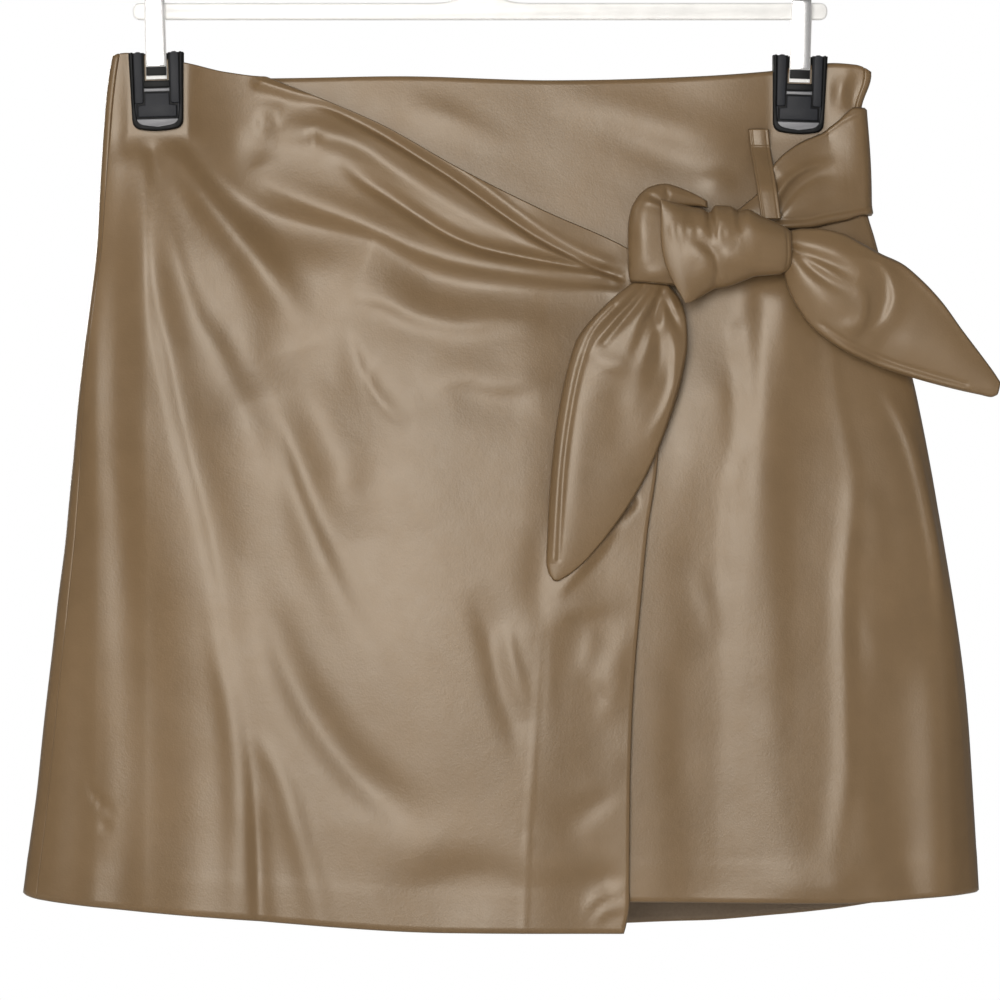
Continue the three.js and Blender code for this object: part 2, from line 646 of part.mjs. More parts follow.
// A jaw's outline: square at the top, with round corners and a bowed edge at the bottom.
function jawShape(inset) {
  const half = CLIP.wide / 2 - inset;
  const [top, bottom] = [CLIP.top, CLIP.bottom + inset];
  const shape = new THREE.Shape();
  shape.moveTo(-half, top);
  shape.lineTo(-half + 1, bottom + CLIP.corner);
  shape.quadraticCurveTo(-half + 1.2, bottom + 1.2, -half + CLIP.corner, bottom + 0.8);
  shape.quadraticCurveTo(0, bottom - 0.6, half - CLIP.corner, bottom + 0.8);
  shape.quadraticCurveTo(half - 1.2, bottom + 1.2, half - 1, bottom + CLIP.corner);
  shape.lineTo(half, top);
  return shape.closePath();
}

// The front jaw: a base plate, a raised body with a T-shaped boss in a groove, and a slot at the top.
const BOSS = { stem: 6.2, stemTop: -101.4, foot: 9.6, footTop: -107.4, footBottom: -114 };
const BOSS_GROOVE = { wide: 0.9, low: 0.5 };
const SLOT = { half: 6, windowHalf: 4.8, windowTop: -89, bottom: -95, bar: -98.4, under: -100.4 };
function frontJaw() {
  const face = -CLAMPED.front - JAW_GAP;
  const [back, step, front] = [face, face - JAW.plate, face - JAW.plate - JAW.raised];
  const plate = solid(slab(jawShape(0), step, back));
  const raised = solid(slab(jawShape(CLIP.rim), front, step + 0.1));
  const groove = BOSS_GROOVE.wide;
  const cut = (x, z0, z1) => solid(block(-x, x, z0, z1, front - 1, step));
  const recess = cut(BOSS.stem + groove, BOSS.footTop - 1, SLOT.under).add(
    cut(BOSS.foot + groove, BOSS.footBottom - groove, BOSS.footTop + groove),
  );
  const raise = (x, z0, z1) => solid(block(-x, x, z0, z1, front + BOSS_GROOVE.low, step + 0.1));
  const stem = raise(BOSS.stem, BOSS.footTop - 1, BOSS.stemTop);
  const foot = raise(BOSS.foot, BOSS.footBottom, BOSS.footTop);
  const slot = solid(block(-SLOT.half, SLOT.half, SLOT.bottom, CLIP.top + 1, step - 0.05, back + 1));
  const window = cut(SLOT.windowHalf, SLOT.bottom, SLOT.windowTop);
  const gap = cut(SLOT.half, SLOT.under, SLOT.bar);
  const faced = plate.add(raised).subtract(recess).subtract(gap).add(stem).add(foot);
  return faced.subtract(slot).subtract(window);
}

function backJaw() {
  const face = CLAMPED.back + JAW_GAP;
  const step = face + JAW.plate;
  const raised = slab(jawShape(CLIP.rim), step - 0.1, step + JAW.backRaised);
  return solid(slab(jawShape(0), face, step)).add(solid(raised));
}

// The spring: a steel strip bent over the tops of the two jaws.
const SPRING = { half: 4.6, thick: 0.8, foot: -87.5, crest: -52, gap: 0.3, bend: 3 };
function spring() {
  const a = -CLAMPED.front - JAW_GAP - JAW.plate - JAW.raised - SPRING.gap;
  const b = CLAMPED.back + JAW_GAP + JAW.plate + JAW.backRaised + SPRING.gap;
  const { foot, crest, bend, thick } = SPRING;
  const shape = new THREE.Shape();
  shape.moveTo(a, foot).lineTo(a, crest - bend);
  shape.quadraticCurveTo(a, crest, a + bend, crest).lineTo(b - bend, crest);
  shape.quadraticCurveTo(b, crest, b, crest - bend).lineTo(b, foot);
  shape.lineTo(b + thick, foot).lineTo(b + thick, crest - bend);
  shape.quadraticCurveTo(b + thick, crest + thick, b - bend, crest + thick).lineTo(a + bend, crest + thick);
  shape.quadraticCurveTo(a - thick, crest + thick, a - thick, crest - bend);
  shape.lineTo(a - thick, foot).closePath();
  const strip = new THREE.ExtrudeGeometry(shape, { depth: 2 * SPRING.half, bevelEnabled: false, curveSegments: 4 });
  const upright = new THREE.Matrix4().makeBasis(
    new THREE.Vector3(0, 1, 0),
    new THREE.Vector3(0, 0, 1),
    new THREE.Vector3(1, 0, 0),
  );
  return strip.applyMatrix4(upright).translate(-SPRING.half, 0, 0);
}

// The hanger in one moulding: the bar, its raised neck, a tongue into each clip and the hook.
class HookLine extends THREE.Curve {
  getPoint(t) {
    const radius = HOOK.inner + HOOK.rod;
    const centre = -HOOK.inner;
    const straight = 0.24;
    if (t < straight) {
      const rise = smooth(t / straight);
      return new THREE.Vector3(
        mix(0, radius, smooth((rise - 0.35) / 0.65)),
        0,
        mix(HOOK.shaftBottom - 6, centre, t / straight),
      );
    }
    const angle = mix(0, Math.PI + HOOK.tip, (t - straight) / (1 - straight));
    return new THREE.Vector3(radius * Math.cos(angle), 0, centre + radius * Math.sin(angle));
  }
}
function hanger() {
  const half = BAR.thick / 2;
  const shape = new THREE.Shape();
  shape.moveTo(-BAR.half, BAR.bottom).lineTo(BAR.half, BAR.bottom).lineTo(BAR.half, BAR.top);
  shape.lineTo(NECK.half, BAR.top).quadraticCurveTo(NECK.waist, BAR.top, NECK.waist, BAR.top + NECK.rise);
  shape.lineTo(-NECK.waist, BAR.top + NECK.rise).quadraticCurveTo(-NECK.waist, BAR.top, -NECK.half, BAR.top);
  shape.lineTo(-BAR.half, BAR.top).closePath();
  const section = new THREE.Shape();
  section.absarc(0, 0, HOOK.rod, 0, 2 * Math.PI);
  const rod = new THREE.ExtrudeGeometry(section, { extrudePath: new HookLine(), steps: 36, curveSegments: 5 });
  const near = -CLAMPED.front - JAW_GAP;
  let made = solid(slab(shape, -half, half)).add(solid(rod));
  const aside = TONGUE.wide / 2;
  for (const clip of CLIPS) {
    const top = BAR.bottom + TONGUE.root;
    const tongue = block(-aside, aside, TONGUE.bottom, top, near - TONGUE.thick, near);
    const root = block(-aside, aside, BAR.bottom, top, near - 0.1, half - 0.5);
    for (const piece of [tongue, root]) made = made.add(solid(piece.applyMatrix4(clipPlace(clip))));
  }
  return made;
}

// Where a clip sits: it leans about the middle of its pads.
function clipPlace({ x, drop, lean }) {
  const pads = (CLIP.bottom + TONGUE.bottom) / 2;
  return new THREE.Matrix4()
    .makeTranslation(x, 0, pads - drop)
    .multiply(new THREE.Matrix4().makeRotationY(-lean))
    .multiply(new THREE.Matrix4().makeTranslation(0, 0, -pads));
}

const skirt = new THREE.Group();
function add(name, colour, geometry, clip) {
  const mesh = new THREE.Mesh(geometry, new THREE.MeshStandardMaterial(COLOURS[colour]));
  mesh.name = name;
  if (clip) mesh.applyMatrix4(clipPlace(clip));
  skirt.add(mesh);
}

add("back_panel", "cloth", backPanel());
add("front_under_panel", "cloth", underPanel());
add("front_wrap_panel", "cloth", wrapPanel());
add("sash", "cloth", sash());
add("belt_loop", "cloth", beltLoop());
add("knot_loop", "cloth", roll(KNOT_LOOP, 20, 16));
add("knot_body", "cloth", roll(KNOT_BODY, 18, 16));
add("tail_down", "cloth", tieEnd(TAIL_DOWN, TAIL_DOWN_PLEATS, 18, 14));
add("tail_side", "cloth", tieEnd(TAIL_SIDE, TAIL_SIDE_PLEATS, 16, 12));
add("hanger", "hanger", geometryOf(hanger()));
for (const clip of CLIPS) {
  add(`clip_${clip.side}_front_jaw`, "clip", geometryOf(frontJaw()), clip);
  add(`clip_${clip.side}_back_jaw`, "clip", geometryOf(backJaw()), clip);
  add(`clip_${clip.side}_spring`, "steel", spring(), clip);
}

export default skirt;
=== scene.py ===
# A faux-leather wrap mini skirt with a knotted tie, hanging from the two clips of a plastic hanger.
# It is made in millimetres in the frame of the CAD model (+Z up, the front faces -Y, the origin at the
# inner top of the hook) and handed to Blender in metres.
import math

import bmesh
import bpy
import numpy as np
from mathutils import Matrix, Vector


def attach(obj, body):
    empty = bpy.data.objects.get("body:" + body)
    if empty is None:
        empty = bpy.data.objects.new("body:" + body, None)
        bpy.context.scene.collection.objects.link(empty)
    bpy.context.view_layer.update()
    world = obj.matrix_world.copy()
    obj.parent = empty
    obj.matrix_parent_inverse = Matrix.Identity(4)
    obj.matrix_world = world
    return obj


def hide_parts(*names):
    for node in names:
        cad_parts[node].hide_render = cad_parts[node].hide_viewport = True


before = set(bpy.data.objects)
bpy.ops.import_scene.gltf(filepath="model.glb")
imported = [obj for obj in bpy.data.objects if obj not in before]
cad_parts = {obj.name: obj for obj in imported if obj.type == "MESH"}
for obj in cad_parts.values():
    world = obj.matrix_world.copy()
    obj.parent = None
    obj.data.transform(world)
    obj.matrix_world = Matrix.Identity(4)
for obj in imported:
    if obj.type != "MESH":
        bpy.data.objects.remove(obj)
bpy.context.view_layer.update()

# ---- Back panel ------------------------------------------------------------------------------------
# The whole back of the skirt is one piece of faux leather, from side seam to side seam. The clips press
# it flat against the front at both sides of the waist, and from there it falls as half of a flat tube.

SKIRT_SHAPE = [  # height, left edge, right edge, depth of the front half, depth of the back half
    (-80, -183.5, 194, 7, 6), (-92, -185.5, 196, 8, 7), (-110, -187.5, 191, 10, 9),
    (-155, -190.5, 193, 15, 13), (-175, -191.5, 198, 17, 15), (-205, -195, 206, 20, 19),
    (-255, -201, 219, 25, 25), (-305, -205.5, 228.5, 29, 30), (-405, -217, 243.5, 34, 36),
    (-455, -222.5, 247, 35, 38), (-525, -232, 251, 36, 40),
]
SIDE_TURN = 2  # the radius of the cloth's turn at each side edge
FLATNESS = 0.85  # 1 is an ellipse, less is flatter in the middle
WAIST_LINE = [  # across, height: it sags between the clips
    (-190, -84), (-177, -81.5), (-160, -84), (-145, -87), (-127, -91.5), (-107, -94), (-40, -93),
    (35, -95), (110, -93.5), (142, -91.5), (160, -89), (178, -87), (188, -87.5), (197, -91),
]
BACK_HEM = [
    (-232, -500.5), (-221, -503.5), (-120, -514), (40, -519), (110, -517), (176, -511), (235, -501.5), (252, -500),
]
LEFT_SEAM = [(-525, math.pi - 0.26), (-400, math.pi - 0.235), (-250, math.pi - 0.19), (-80, math.pi - 0.18)]
RIGHT_SEAM = [(-525, -0.14), (-260, 0.05), (-80, 0.2)]
SEAM_GAP = 0.5
CLIP_PLACES = [("left", -161.5, 0, 0.03), ("right", 159.5, 1.6, -0.03)]  # side, across, drop, lean
CLIP_WIDE, CLIP_FOOT = 27.6, -120.4
HELD = {"front": 2.8, "back": 2.3, "aside": 42, "below": 70, "margin": 0.6, "soft": 0.012, "creases": 0.2}
LEATHERETTE = 1.3  # one layer
FACING = {"depth": 45, "fade": 8, "edge": 0.25, "front": 2.6, "back": 1.7}
HEM_TURN = {"high": 18.5, "fade": 2.2, "thick": 0.9, "step": 0.14}


def ease(share):
    share = np.clip(share, 0, 1)
    return share * share * (3 - 2 * share)


def blend(a, b, share):
    return a + (b - a) * share


def curve(points):
    """A curve through the points of a table that never overshoots them."""
    place, value = np.array(sorted(points), float).T
    slope = np.diff(value) / np.diff(place)
    tangent = np.concatenate([slope[:1], np.zeros(len(slope) - 1), slope[-1:]])
    before, after = slope[:-1], slope[1:]
    same = before * after > 0
    tangent[1:-1][same] = 2 * before[same] * after[same] / (before[same] + after[same])

    def read(at):
        at = np.clip(at, place[0], place[-1])
        i = np.clip(np.searchsorted(place, at, side="right") - 1, 0, len(slope) - 1)
        run = place[i + 1] - place[i]
        t = (at - place[i]) / run
        rise = value[i] * (2 * t**3 - 3 * t**2 + 1) + value[i + 1] * (3 * t**2 - 2 * t**3)
        return rise + run * (tangent[i] * (t**3 - 2 * t**2 + t) + tangent[i + 1] * (t**3 - t**2))

    return read


left_side, right_side, front_depth, back_depth = (
    curve([(row[0], row[column]) for row in SKIRT_SHAPE]) for column in (1, 2, 3, 4)
)
waist, left_seam, right_seam = curve(WAIST_LINE), curve(LEFT_SEAM), curve(RIGHT_SEAM)


def held_flat(x, z, reach=1.0):
    """How much the clips flatten the cloth: 1 between their jaws, falling to 0 round them."""
    most = 0
    for _, across, drop, _ in CLIP_PLACES:
        aside = np.maximum(0, np.abs(x - across) - CLIP_WIDE / 2 - HELD["margin"]) / HELD["aside"]
        below = np.maximum(0, CLIP_FOOT - drop - HELD["margin"] - z) / HELD["below"]
        away = np.sqrt(aside**2 + below**2 + HELD["soft"] ** 2) - HELD["soft"]
        most = np.maximum(most, np.clip(1 - away / reach, 0, 1) ** 2)
    return most


def free_of_clips(x, z):
    """How freely the cloth creases: 0 between a clip's jaws, 1 from a little beyond them."""
    return 1 - held_flat(x, z, HELD["creases"])


def on_skirt(turn, z):
    """A place on the skirt's tube, by the angle round it: 0 is the right edge and pi the left one."""
    turn, z = np.broadcast_arrays(np.asarray(turn, float), np.asarray(z, float))
    left, right, side = left_side(z), right_side(z), np.sin(turn)
    x = (left + right) / 2 + (right - left) / 2 * np.cos(turn)
    inset = np.minimum(SIDE_TURN, np.maximum(0, np.minimum(x - left, right - x)))
    fold = np.sqrt(inset * (2 * SIDE_TURN - inset))
    free = fold + (np.where(side >= 0, front_depth(z), back_depth(z)) - SIDE_TURN) * np.abs(side) ** FLATNESS
    pressed = fold * np.where(side >= 0, HELD["front"], HELD["back"]) / SIDE_TURN
    depth = blend(free, pressed, held_flat(x, z))
    return np.stack([x, np.where(side >= 0, -depth, depth), z], axis=-1)


def skirt_out(turn, z):
    """Straight out of the skirt's tube at a place."""
    across = on_skirt(turn + 2e-3, z) - on_skirt(turn - 2e-3, z)
    down = on_skirt(turn, z + 0.5) - on_skirt(turn, z - 0.5)
    out = np.cross(down, across)
    return out / np.linalg.norm(out, axis=-1, keepdims=True)


def turn_for(x, z):
    left, right = left_side(z), right_side(z)
    return np.arccos(np.clip((2 * x - left - right) / (right - left), -1, 1))


def folds_at(folds, x, z):
    """Adds up the folds in the cloth at a place. A fold is its width at both ends, its heights from end
    to end, how much steeper it is on one side, and the points that it runs through."""
    x, z = np.broadcast_arrays(np.asarray(x, float), np.asarray(z, float))
    total = np.zeros(x.shape)
    for wide_start, wide_end, heights, lean, points in folds:
        share = np.linspace(0, 1, len(points))
        steps = np.linspace(0, 1, 24)
        line = np.stack([curve(zip(share, column))(steps) for column in np.array(points, float).T], axis=-1)
        reach = 3.4 * max(wide_start, wide_end) * (1 + abs(lean))
        low, high = line.min(axis=0) - reach, line.max(axis=0) + reach
        near = (x > low[0]) & (x < high[0]) & (z > low[1]) & (z < high[1])
        px, pz = x[near], z[near]
        least, along, side = np.full(px.shape, 1e9), np.zeros(px.shape), np.zeros(px.shape)
        for i in range(len(line) - 1):
            step = line[i + 1] - line[i]
            t = np.clip(((px - line[i][0]) * step[0] + (pz - line[i][1]) * step[1]) / (step @ step), 0, 1)
            ax, az = px - line[i][0] - t * step[0], pz - line[i][1] - t * step[1]
            away = np.hypot(ax, az)
            nearer = away < least
            least = np.where(nearer, away, least)
            along = np.where(nearer, (i + t) / (len(line) - 1), along)
            off = (step[0] * az - step[1] * ax) / np.hypot(*step)
            side = np.where(nearer, off / np.maximum(away, 1e-6), side)
        wide = blend(wide_start, wide_end, along) * (1 - lean * side)
        high = curve(zip(np.linspace(0, 1, len(heights)), heights))(along)
        total[near] += high * np.exp(-((least / wide) ** 2) / 2)
    return total


def ripples(x, z, size, seed):
    """A gentle unevenness of the hanging cloth, about as large as size, from -1 to 1."""
    pick = np.random.default_rng(seed)
    total = np.zeros(np.broadcast(x, z).shape)
    for _ in range(9):
        angle, phase, scale = pick.uniform(0, math.pi), pick.uniform(0, 2 * math.pi), pick.uniform(0.7, 1.6)
        total = total + np.sin((x * np.cos(angle) + z * np.sin(angle)) * 2 * math.pi / (size * scale) + phase)
    return total / 9


def sheet_mesh(name, outer, inner, finishes, edge=0.4):
    """A sheet of cloth between two grids of points, rounded over at its cut edges."""
    rows, cols = outer.shape[:2]
    index = np.arange(rows * cols).reshape(rows, cols)
    rim = np.concatenate([index[0, :-1], index[:-1, -1], index[-1, :0:-1], index[:0:-1, 0]])
    within = np.clip(index // cols, 1, rows - 2) * cols + np.clip(index % cols, 1, cols - 2)
    flat_outer, flat_inner = outer.reshape(-1, 3), inner.reshape(-1, 3)
    middle = (flat_outer[rim] + flat_inner[rim]) / 2
    inward = (flat_outer + flat_inner)[within.ravel()[rim]] / 2
    outward = middle - inward
    outward /= np.maximum(np.linalg.norm(outward, axis=-1, keepdims=True), 1e-9)
    thick = np.linalg.norm(flat_outer[rim] - flat_inner[rim], axis=-1, keepdims=True)
    middle = middle + outward * thick * edge
    count = rows * cols
    a, b, c, d = index[:-1, :-1], index[1:, :-1], index[1:, 1:], index[:-1, 1:]
    face_outer = np.stack([a, b, c, d], axis=-1).reshape(-1, 4)
    face_inner = face_outer[:, ::-1] + count
    lip = 2 * count + np.arange(len(rim))
    after = np.roll(np.arange(len(rim)), -1)
    near_rim = np.stack([rim, rim[after], lip[after], lip], axis=-1)
    far_rim = np.stack([lip, lip[after], rim[after] + count, rim + count], axis=-1)
    points = np.concatenate([flat_outer, flat_inner, middle])
    faces = np.concatenate([face_outer, near_rim, far_rim, face_inner])
    corners = points[faces]
    volume = np.einsum("ij,ij->i", corners[:, 0], np.cross(corners[:, 1], corners[:, 2])).sum()
    volume += np.einsum("ij,ij->i", corners[:, 0], np.cross(corners[:, 2], corners[:, 3])).sum()
    if volume < 0:
        faces = faces[:, ::-1]
    mesh = bpy.data.meshes.new(name)
    mesh.from_pydata((points * 0.001).tolist(), [], faces.tolist())
    for finish in finishes:
        mesh.materials.append(finish)
    inside = np.zeros(len(faces), np.int32)
    inside[len(faces) - len(face_inner):] = len(finishes) - 1
    mesh.polygons.foreach_set("material_index", inside)
    mesh.polygons.foreach_set("use_smooth", np.ones(len(faces), bool))
    mesh.update()
    piece = bpy.data.objects.new(name, mesh)
    bpy.context.collection.objects.link(piece)
    return piece


def leatherette(name, base=(0.168, 0.105, 0.050), tone=1.0, wear=1.0):
    """Coated cloth: a matt-satin brown film with fine grain, faint creasing and a soft greyish sheen."""
    finish = bpy.data.materials.new(name)
    finish.use_nodes = True
    nodes, links = finish.node_tree.nodes, finish.node_tree.links
    film = nodes["Principled BSDF"]
    place = nodes.new("ShaderNodeTexCoord")

    def noise(scale, detail, rough=0.5):
        node = nodes.new("ShaderNodeTexNoise")
        node.inputs["Scale"].default_value = scale
        node.inputs["Detail"].default_value = detail
        node.inputs["Roughness"].default_value = rough
        links.new(place.outputs["Object"], node.inputs["Vector"])
        return node

    cloudy, mottled, creased = noise(9, 3), noise(70, 4, 0.6), noise(160, 5, 0.65)
    grain = nodes.new("ShaderNodeTexVoronoi")
    grain.inputs["Scale"].default_value = 950
    links.new(place.outputs["Object"], grain.inputs["Vector"])
    shades = nodes.new("ShaderNodeValToRGB")
    shades.color_ramp.elements[0].position, shades.color_ramp.elements[1].position = 0.32, 0.70
    for element, strength in zip(shades.color_ramp.elements, (0.88 * tone, 1.10 * tone)):
        element.color = (*(channel * strength for channel in base), 1)
    together = nodes.new("ShaderNodeMath")
    together.operation = "MULTIPLY_ADD"
    together.inputs[1].default_value = 0.35
    links.new(mottled.outputs["Fac"], together.inputs[0])
    softer = nodes.new("ShaderNodeMath")
    softer.operation = "MULTIPLY"
    softer.inputs[1].default_value = 0.65
    links.new(cloudy.outputs["Fac"], softer.inputs[0])
    links.new(softer.outputs[0], together.inputs[2])
    links.new(together.outputs[0], shades.inputs["Fac"])
    links.new(shades.outputs["Color"], film.inputs["Base Color"])

    gloss = nodes.new("ShaderNodeMapRange")
    gloss.inputs["To Min"].default_value = 0.32
    gloss.inputs["To Max"].default_value = 0.42
    links.new(mottled.outputs["Fac"], gloss.inputs["Value"])
    links.new(gloss.outputs["Result"], film.inputs["Roughness"])

    def bump(height, distance, strength, under=None):
        node = nodes.new("ShaderNodeBump")
        node.inputs["Distance"].default_value = distance
        node.inputs["Strength"].default_value = strength
        links.new(height, node.inputs["Height"])
        if under:
            links.new(under.outputs["Normal"], node.inputs["Normal"])
        return node

    soft = bump(mottled.outputs["Fac"], 0.0009, 0.13 * wear)
    fine = bump(creased.outputs["Fac"], 0.0004, 0.13 * wear, soft)
    pores = bump(grain.outputs["Distance"], 0.0001, 0.25, fine)
    links.new(pores.outputs["Normal"], film.inputs["Normal"])
    film.inputs["Specular IOR Level"].default_value = 0.56
    film.inputs["Specular Tint"].default_value = (1.0, 0.945, 0.85, 1)
    film.inputs["Sheen Weight"].default_value = 0.02
    film.inputs["Sheen Roughness"].default_value = 0.4
    return finish


def knit_backing(name):
    """The inside of the coated cloth: a fine brown knit."""
    finish = bpy.data.materials.new(name)
    finish.use_nodes = True
    nodes, links = finish.node_tree.nodes, finish.node_tree.links
    yarn = nodes["Principled BSDF"]
    place = nodes.new("ShaderNodeTexCoord")
    rows = nodes.new("ShaderNodeTexWave")
    rows.inputs["Scale"].default_value = 520
    rows.inputs["Distortion"].default_value = 3
    rows.bands_direction = "Z"
    fuzz = nodes.new("ShaderNodeTexNoise")
    fuzz.inputs["Scale"].default_value = 600
    for texture in (rows, fuzz):
        links.new(place.outputs["Object"], texture.inputs["Vector"])
    shades = nodes.new("ShaderNodeValToRGB")
    shades.color_ramp.elements[0].color = (0.15, 0.104, 0.064, 1)
    shades.color_ramp.elements[1].color = (0.21, 0.152, 0.098, 1)
    links.new(fuzz.outputs["Fac"], shades.inputs["Fac"])
    links.new(shades.outputs["Color"], yarn.inputs["Base Color"])
    relief = nodes.new("ShaderNodeBump")
    relief.inputs["Distance"].default_value = 0.00006
    links.new(rows.outputs["Fac"], relief.inputs["Height"])
    links.new(relief.outputs["Normal"], yarn.inputs["Normal"])
    yarn.inputs["Roughness"].default_value = 0.55
    return finish


back_film = leatherette("leatherette_back")
backing = knit_backing("knit_backing")
inward_backing = [back_film, backing]


def half_gap(turn, z):
    """Half the gap of a side seam, as an angle round the tube."""
    step = np.linalg.norm(on_skirt(turn + 2e-3, z) - on_skirt(turn, z), axis=-1)
    return SEAM_GAP / 2 * 2e-3 / step


def panel(turn_at, top, hem, rows, cols, stands, thick, crowd=1.0):
    """A panel of the skirt as two grids. turn_at(across, z) places its columns, stands(x, z, turn) is how
    far it stands out from the tube and thick(x, z, turn, up) its thickness, up being the way to the hem."""
    across = np.linspace(0, 1, cols + 1)

    def meet(line):
        z = np.full(across.shape, float(line(0.0)))
        for _ in range(8):
            z = line(on_skirt(turn_at(across, z), z)[..., 0])
        return z

    high, low = meet(top), meet(hem)
    z = blend(high, low, (np.linspace(0, 1, rows + 1) ** crowd)[:, None])
    turn = turn_at(across[None, :], z)
    place, out = on_skirt(turn, z), skirt_out(turn, z)
    up = z - low[None, :]
    lift = stands(place[..., 0], z, turn) - HEM_TURN["step"] * ease((up - HEM_TURN["high"]) / HEM_TURN["fade"])
    outer = place + out * lift[..., None]
    inner = outer - out * thick(place[..., 0], z, turn, up)[..., None]
    return outer, inner


def faced(x, z, turn):
    """How much of the facing's thickness a place near the waist has."""
    below = ease((FACING["depth"] + FACING["fade"] - waist(x) + z) / FACING["fade"])
    return below * ease((np.abs(np.sin(turn)) - FACING["edge"]) / FACING["edge"])


def turned_up(up):
    """The second layer of the turned-up hem, on the inside."""
    return HEM_TURN["thick"] * ease((HEM_TURN["high"] + HEM_TURN["fade"] - up) / HEM_TURN["fade"])


BACK_FOLDS = [
    (4, 5, (1.2, 2.0, 2.4), 0.2, [(-176, -124), (-182, -250), (-190, -380), (-200, -508)]),
    (5, 9, (1.5, 2.6, 3.0), 0.1, [(-160, -125), (-160, -250), (-168, -380), (-178, -512)]),
    (5, 10, (1.2, 2.6, 1.8), -0.1, [(-154, -125), (-138, -230), (-128, -360), (-124, -514)]),
    (5, 12, (1.8, 3.0, 2.6), 0.1, [(-148, -122), (-118, -210), (-92, -330), (-78, -516)]),
    (6, 8, (-0.4, -1.3, -1.2), 0, [(-135, -190), (-112, -290), (-102, -400), (-98, -516)]),
    (8, 14, (0.3, 1.4, 2.4), 0, [(-40, -230), (-34, -340), (-30, -440), (-28, -518)]),
    (8, 10, (-0.2, -1.0, -1.0), 0, [(2, -260), (4, -380), (6, -519)]),
    (8, 14, (0.3, 1.2, 2.2), 0.1, [(44, -250), (40, -350), (42, -450), (44, -518)]),
    (5, 12, (1.8, 3.0, 2.6), -0.1, [(146, -123), (118, -205), (98, -330), (92, -517)]),
    (6, 8, (-0.4, -1.3, -1.2), 0, [(140, -180), (124, -290), (118, -400), (116, -516)]),
    (5, 10, (1.2, 2.8, 2.2), 0.2, [(154, -126), (148, -230), (146, -360), (144, -514)]),
    (5, 9, (1.5, 2.4, 3.0), 0, [(160, -127), (172, -250), (184, -380), (194, -508)]),
    (4, 6, (1.0, 1.8, 1.4), 0, [(172, -126), (192, -230), (208, -350), (218, -502)]),
    (3, 4, (0.3, 1.0, 0.3), 0.3, [(-70, -150), (-30, -168), (20, -172), (70, -160)]),
    (3, 5, (0.3, 1.1, 0.3), 0.3, [(-90, -176), (-45, -196), (10, -204), (60, -196), (95, -180)]),
    (4, 6, (0.2, 0.9, 0.2), 0.3, [(-60, -226), (0, -238), (64, -228)]),
    (0.9, 0.9, (-0.5, -0.6, -0.2), 0, [(-62, -96), (-58, -140), (-54, -196)]),
    (0.9, 0.9, (-0.5, -0.6, -0.2), 0, [(66, -96), (62, -140), (58, -196)]),
]


def back_turn(across, z):
    first = left_seam(z) + half_gap(left_seam(z), z)
    last = 2 * math.pi + right_seam(z) - half_gap(right_seam(z), z)
    return blend(first, last, across)


def back_stands(x, z, turn):
    loose = free_of_clips(x, z)
    behind = ease(-np.sin(turn) * 12 + 0.5)
    return loose * (behind * folds_at(BACK_FOLDS, x, z) + 0.35 * ripples(x, z, 46, 3)) + 0.35


back = sheet_mesh("skirt_back", *panel(
    back_turn, waist, curve(BACK_HEM), 170, 190, back_stands,
    lambda x, z, turn, up: blend(LEATHERETTE, FACING["back"], faced(x, z, turn)) + turned_up(up),
), inward_backing)
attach(back, "root")
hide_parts("back_panel")

# ---- Under front -----------------------------------------------------------------------------------
# The inner front panel runs behind the wrap from side to side and is joined to the back at both sides.
# It shows at the upper middle, where the wrap dips, and below the knot as the plain right part.

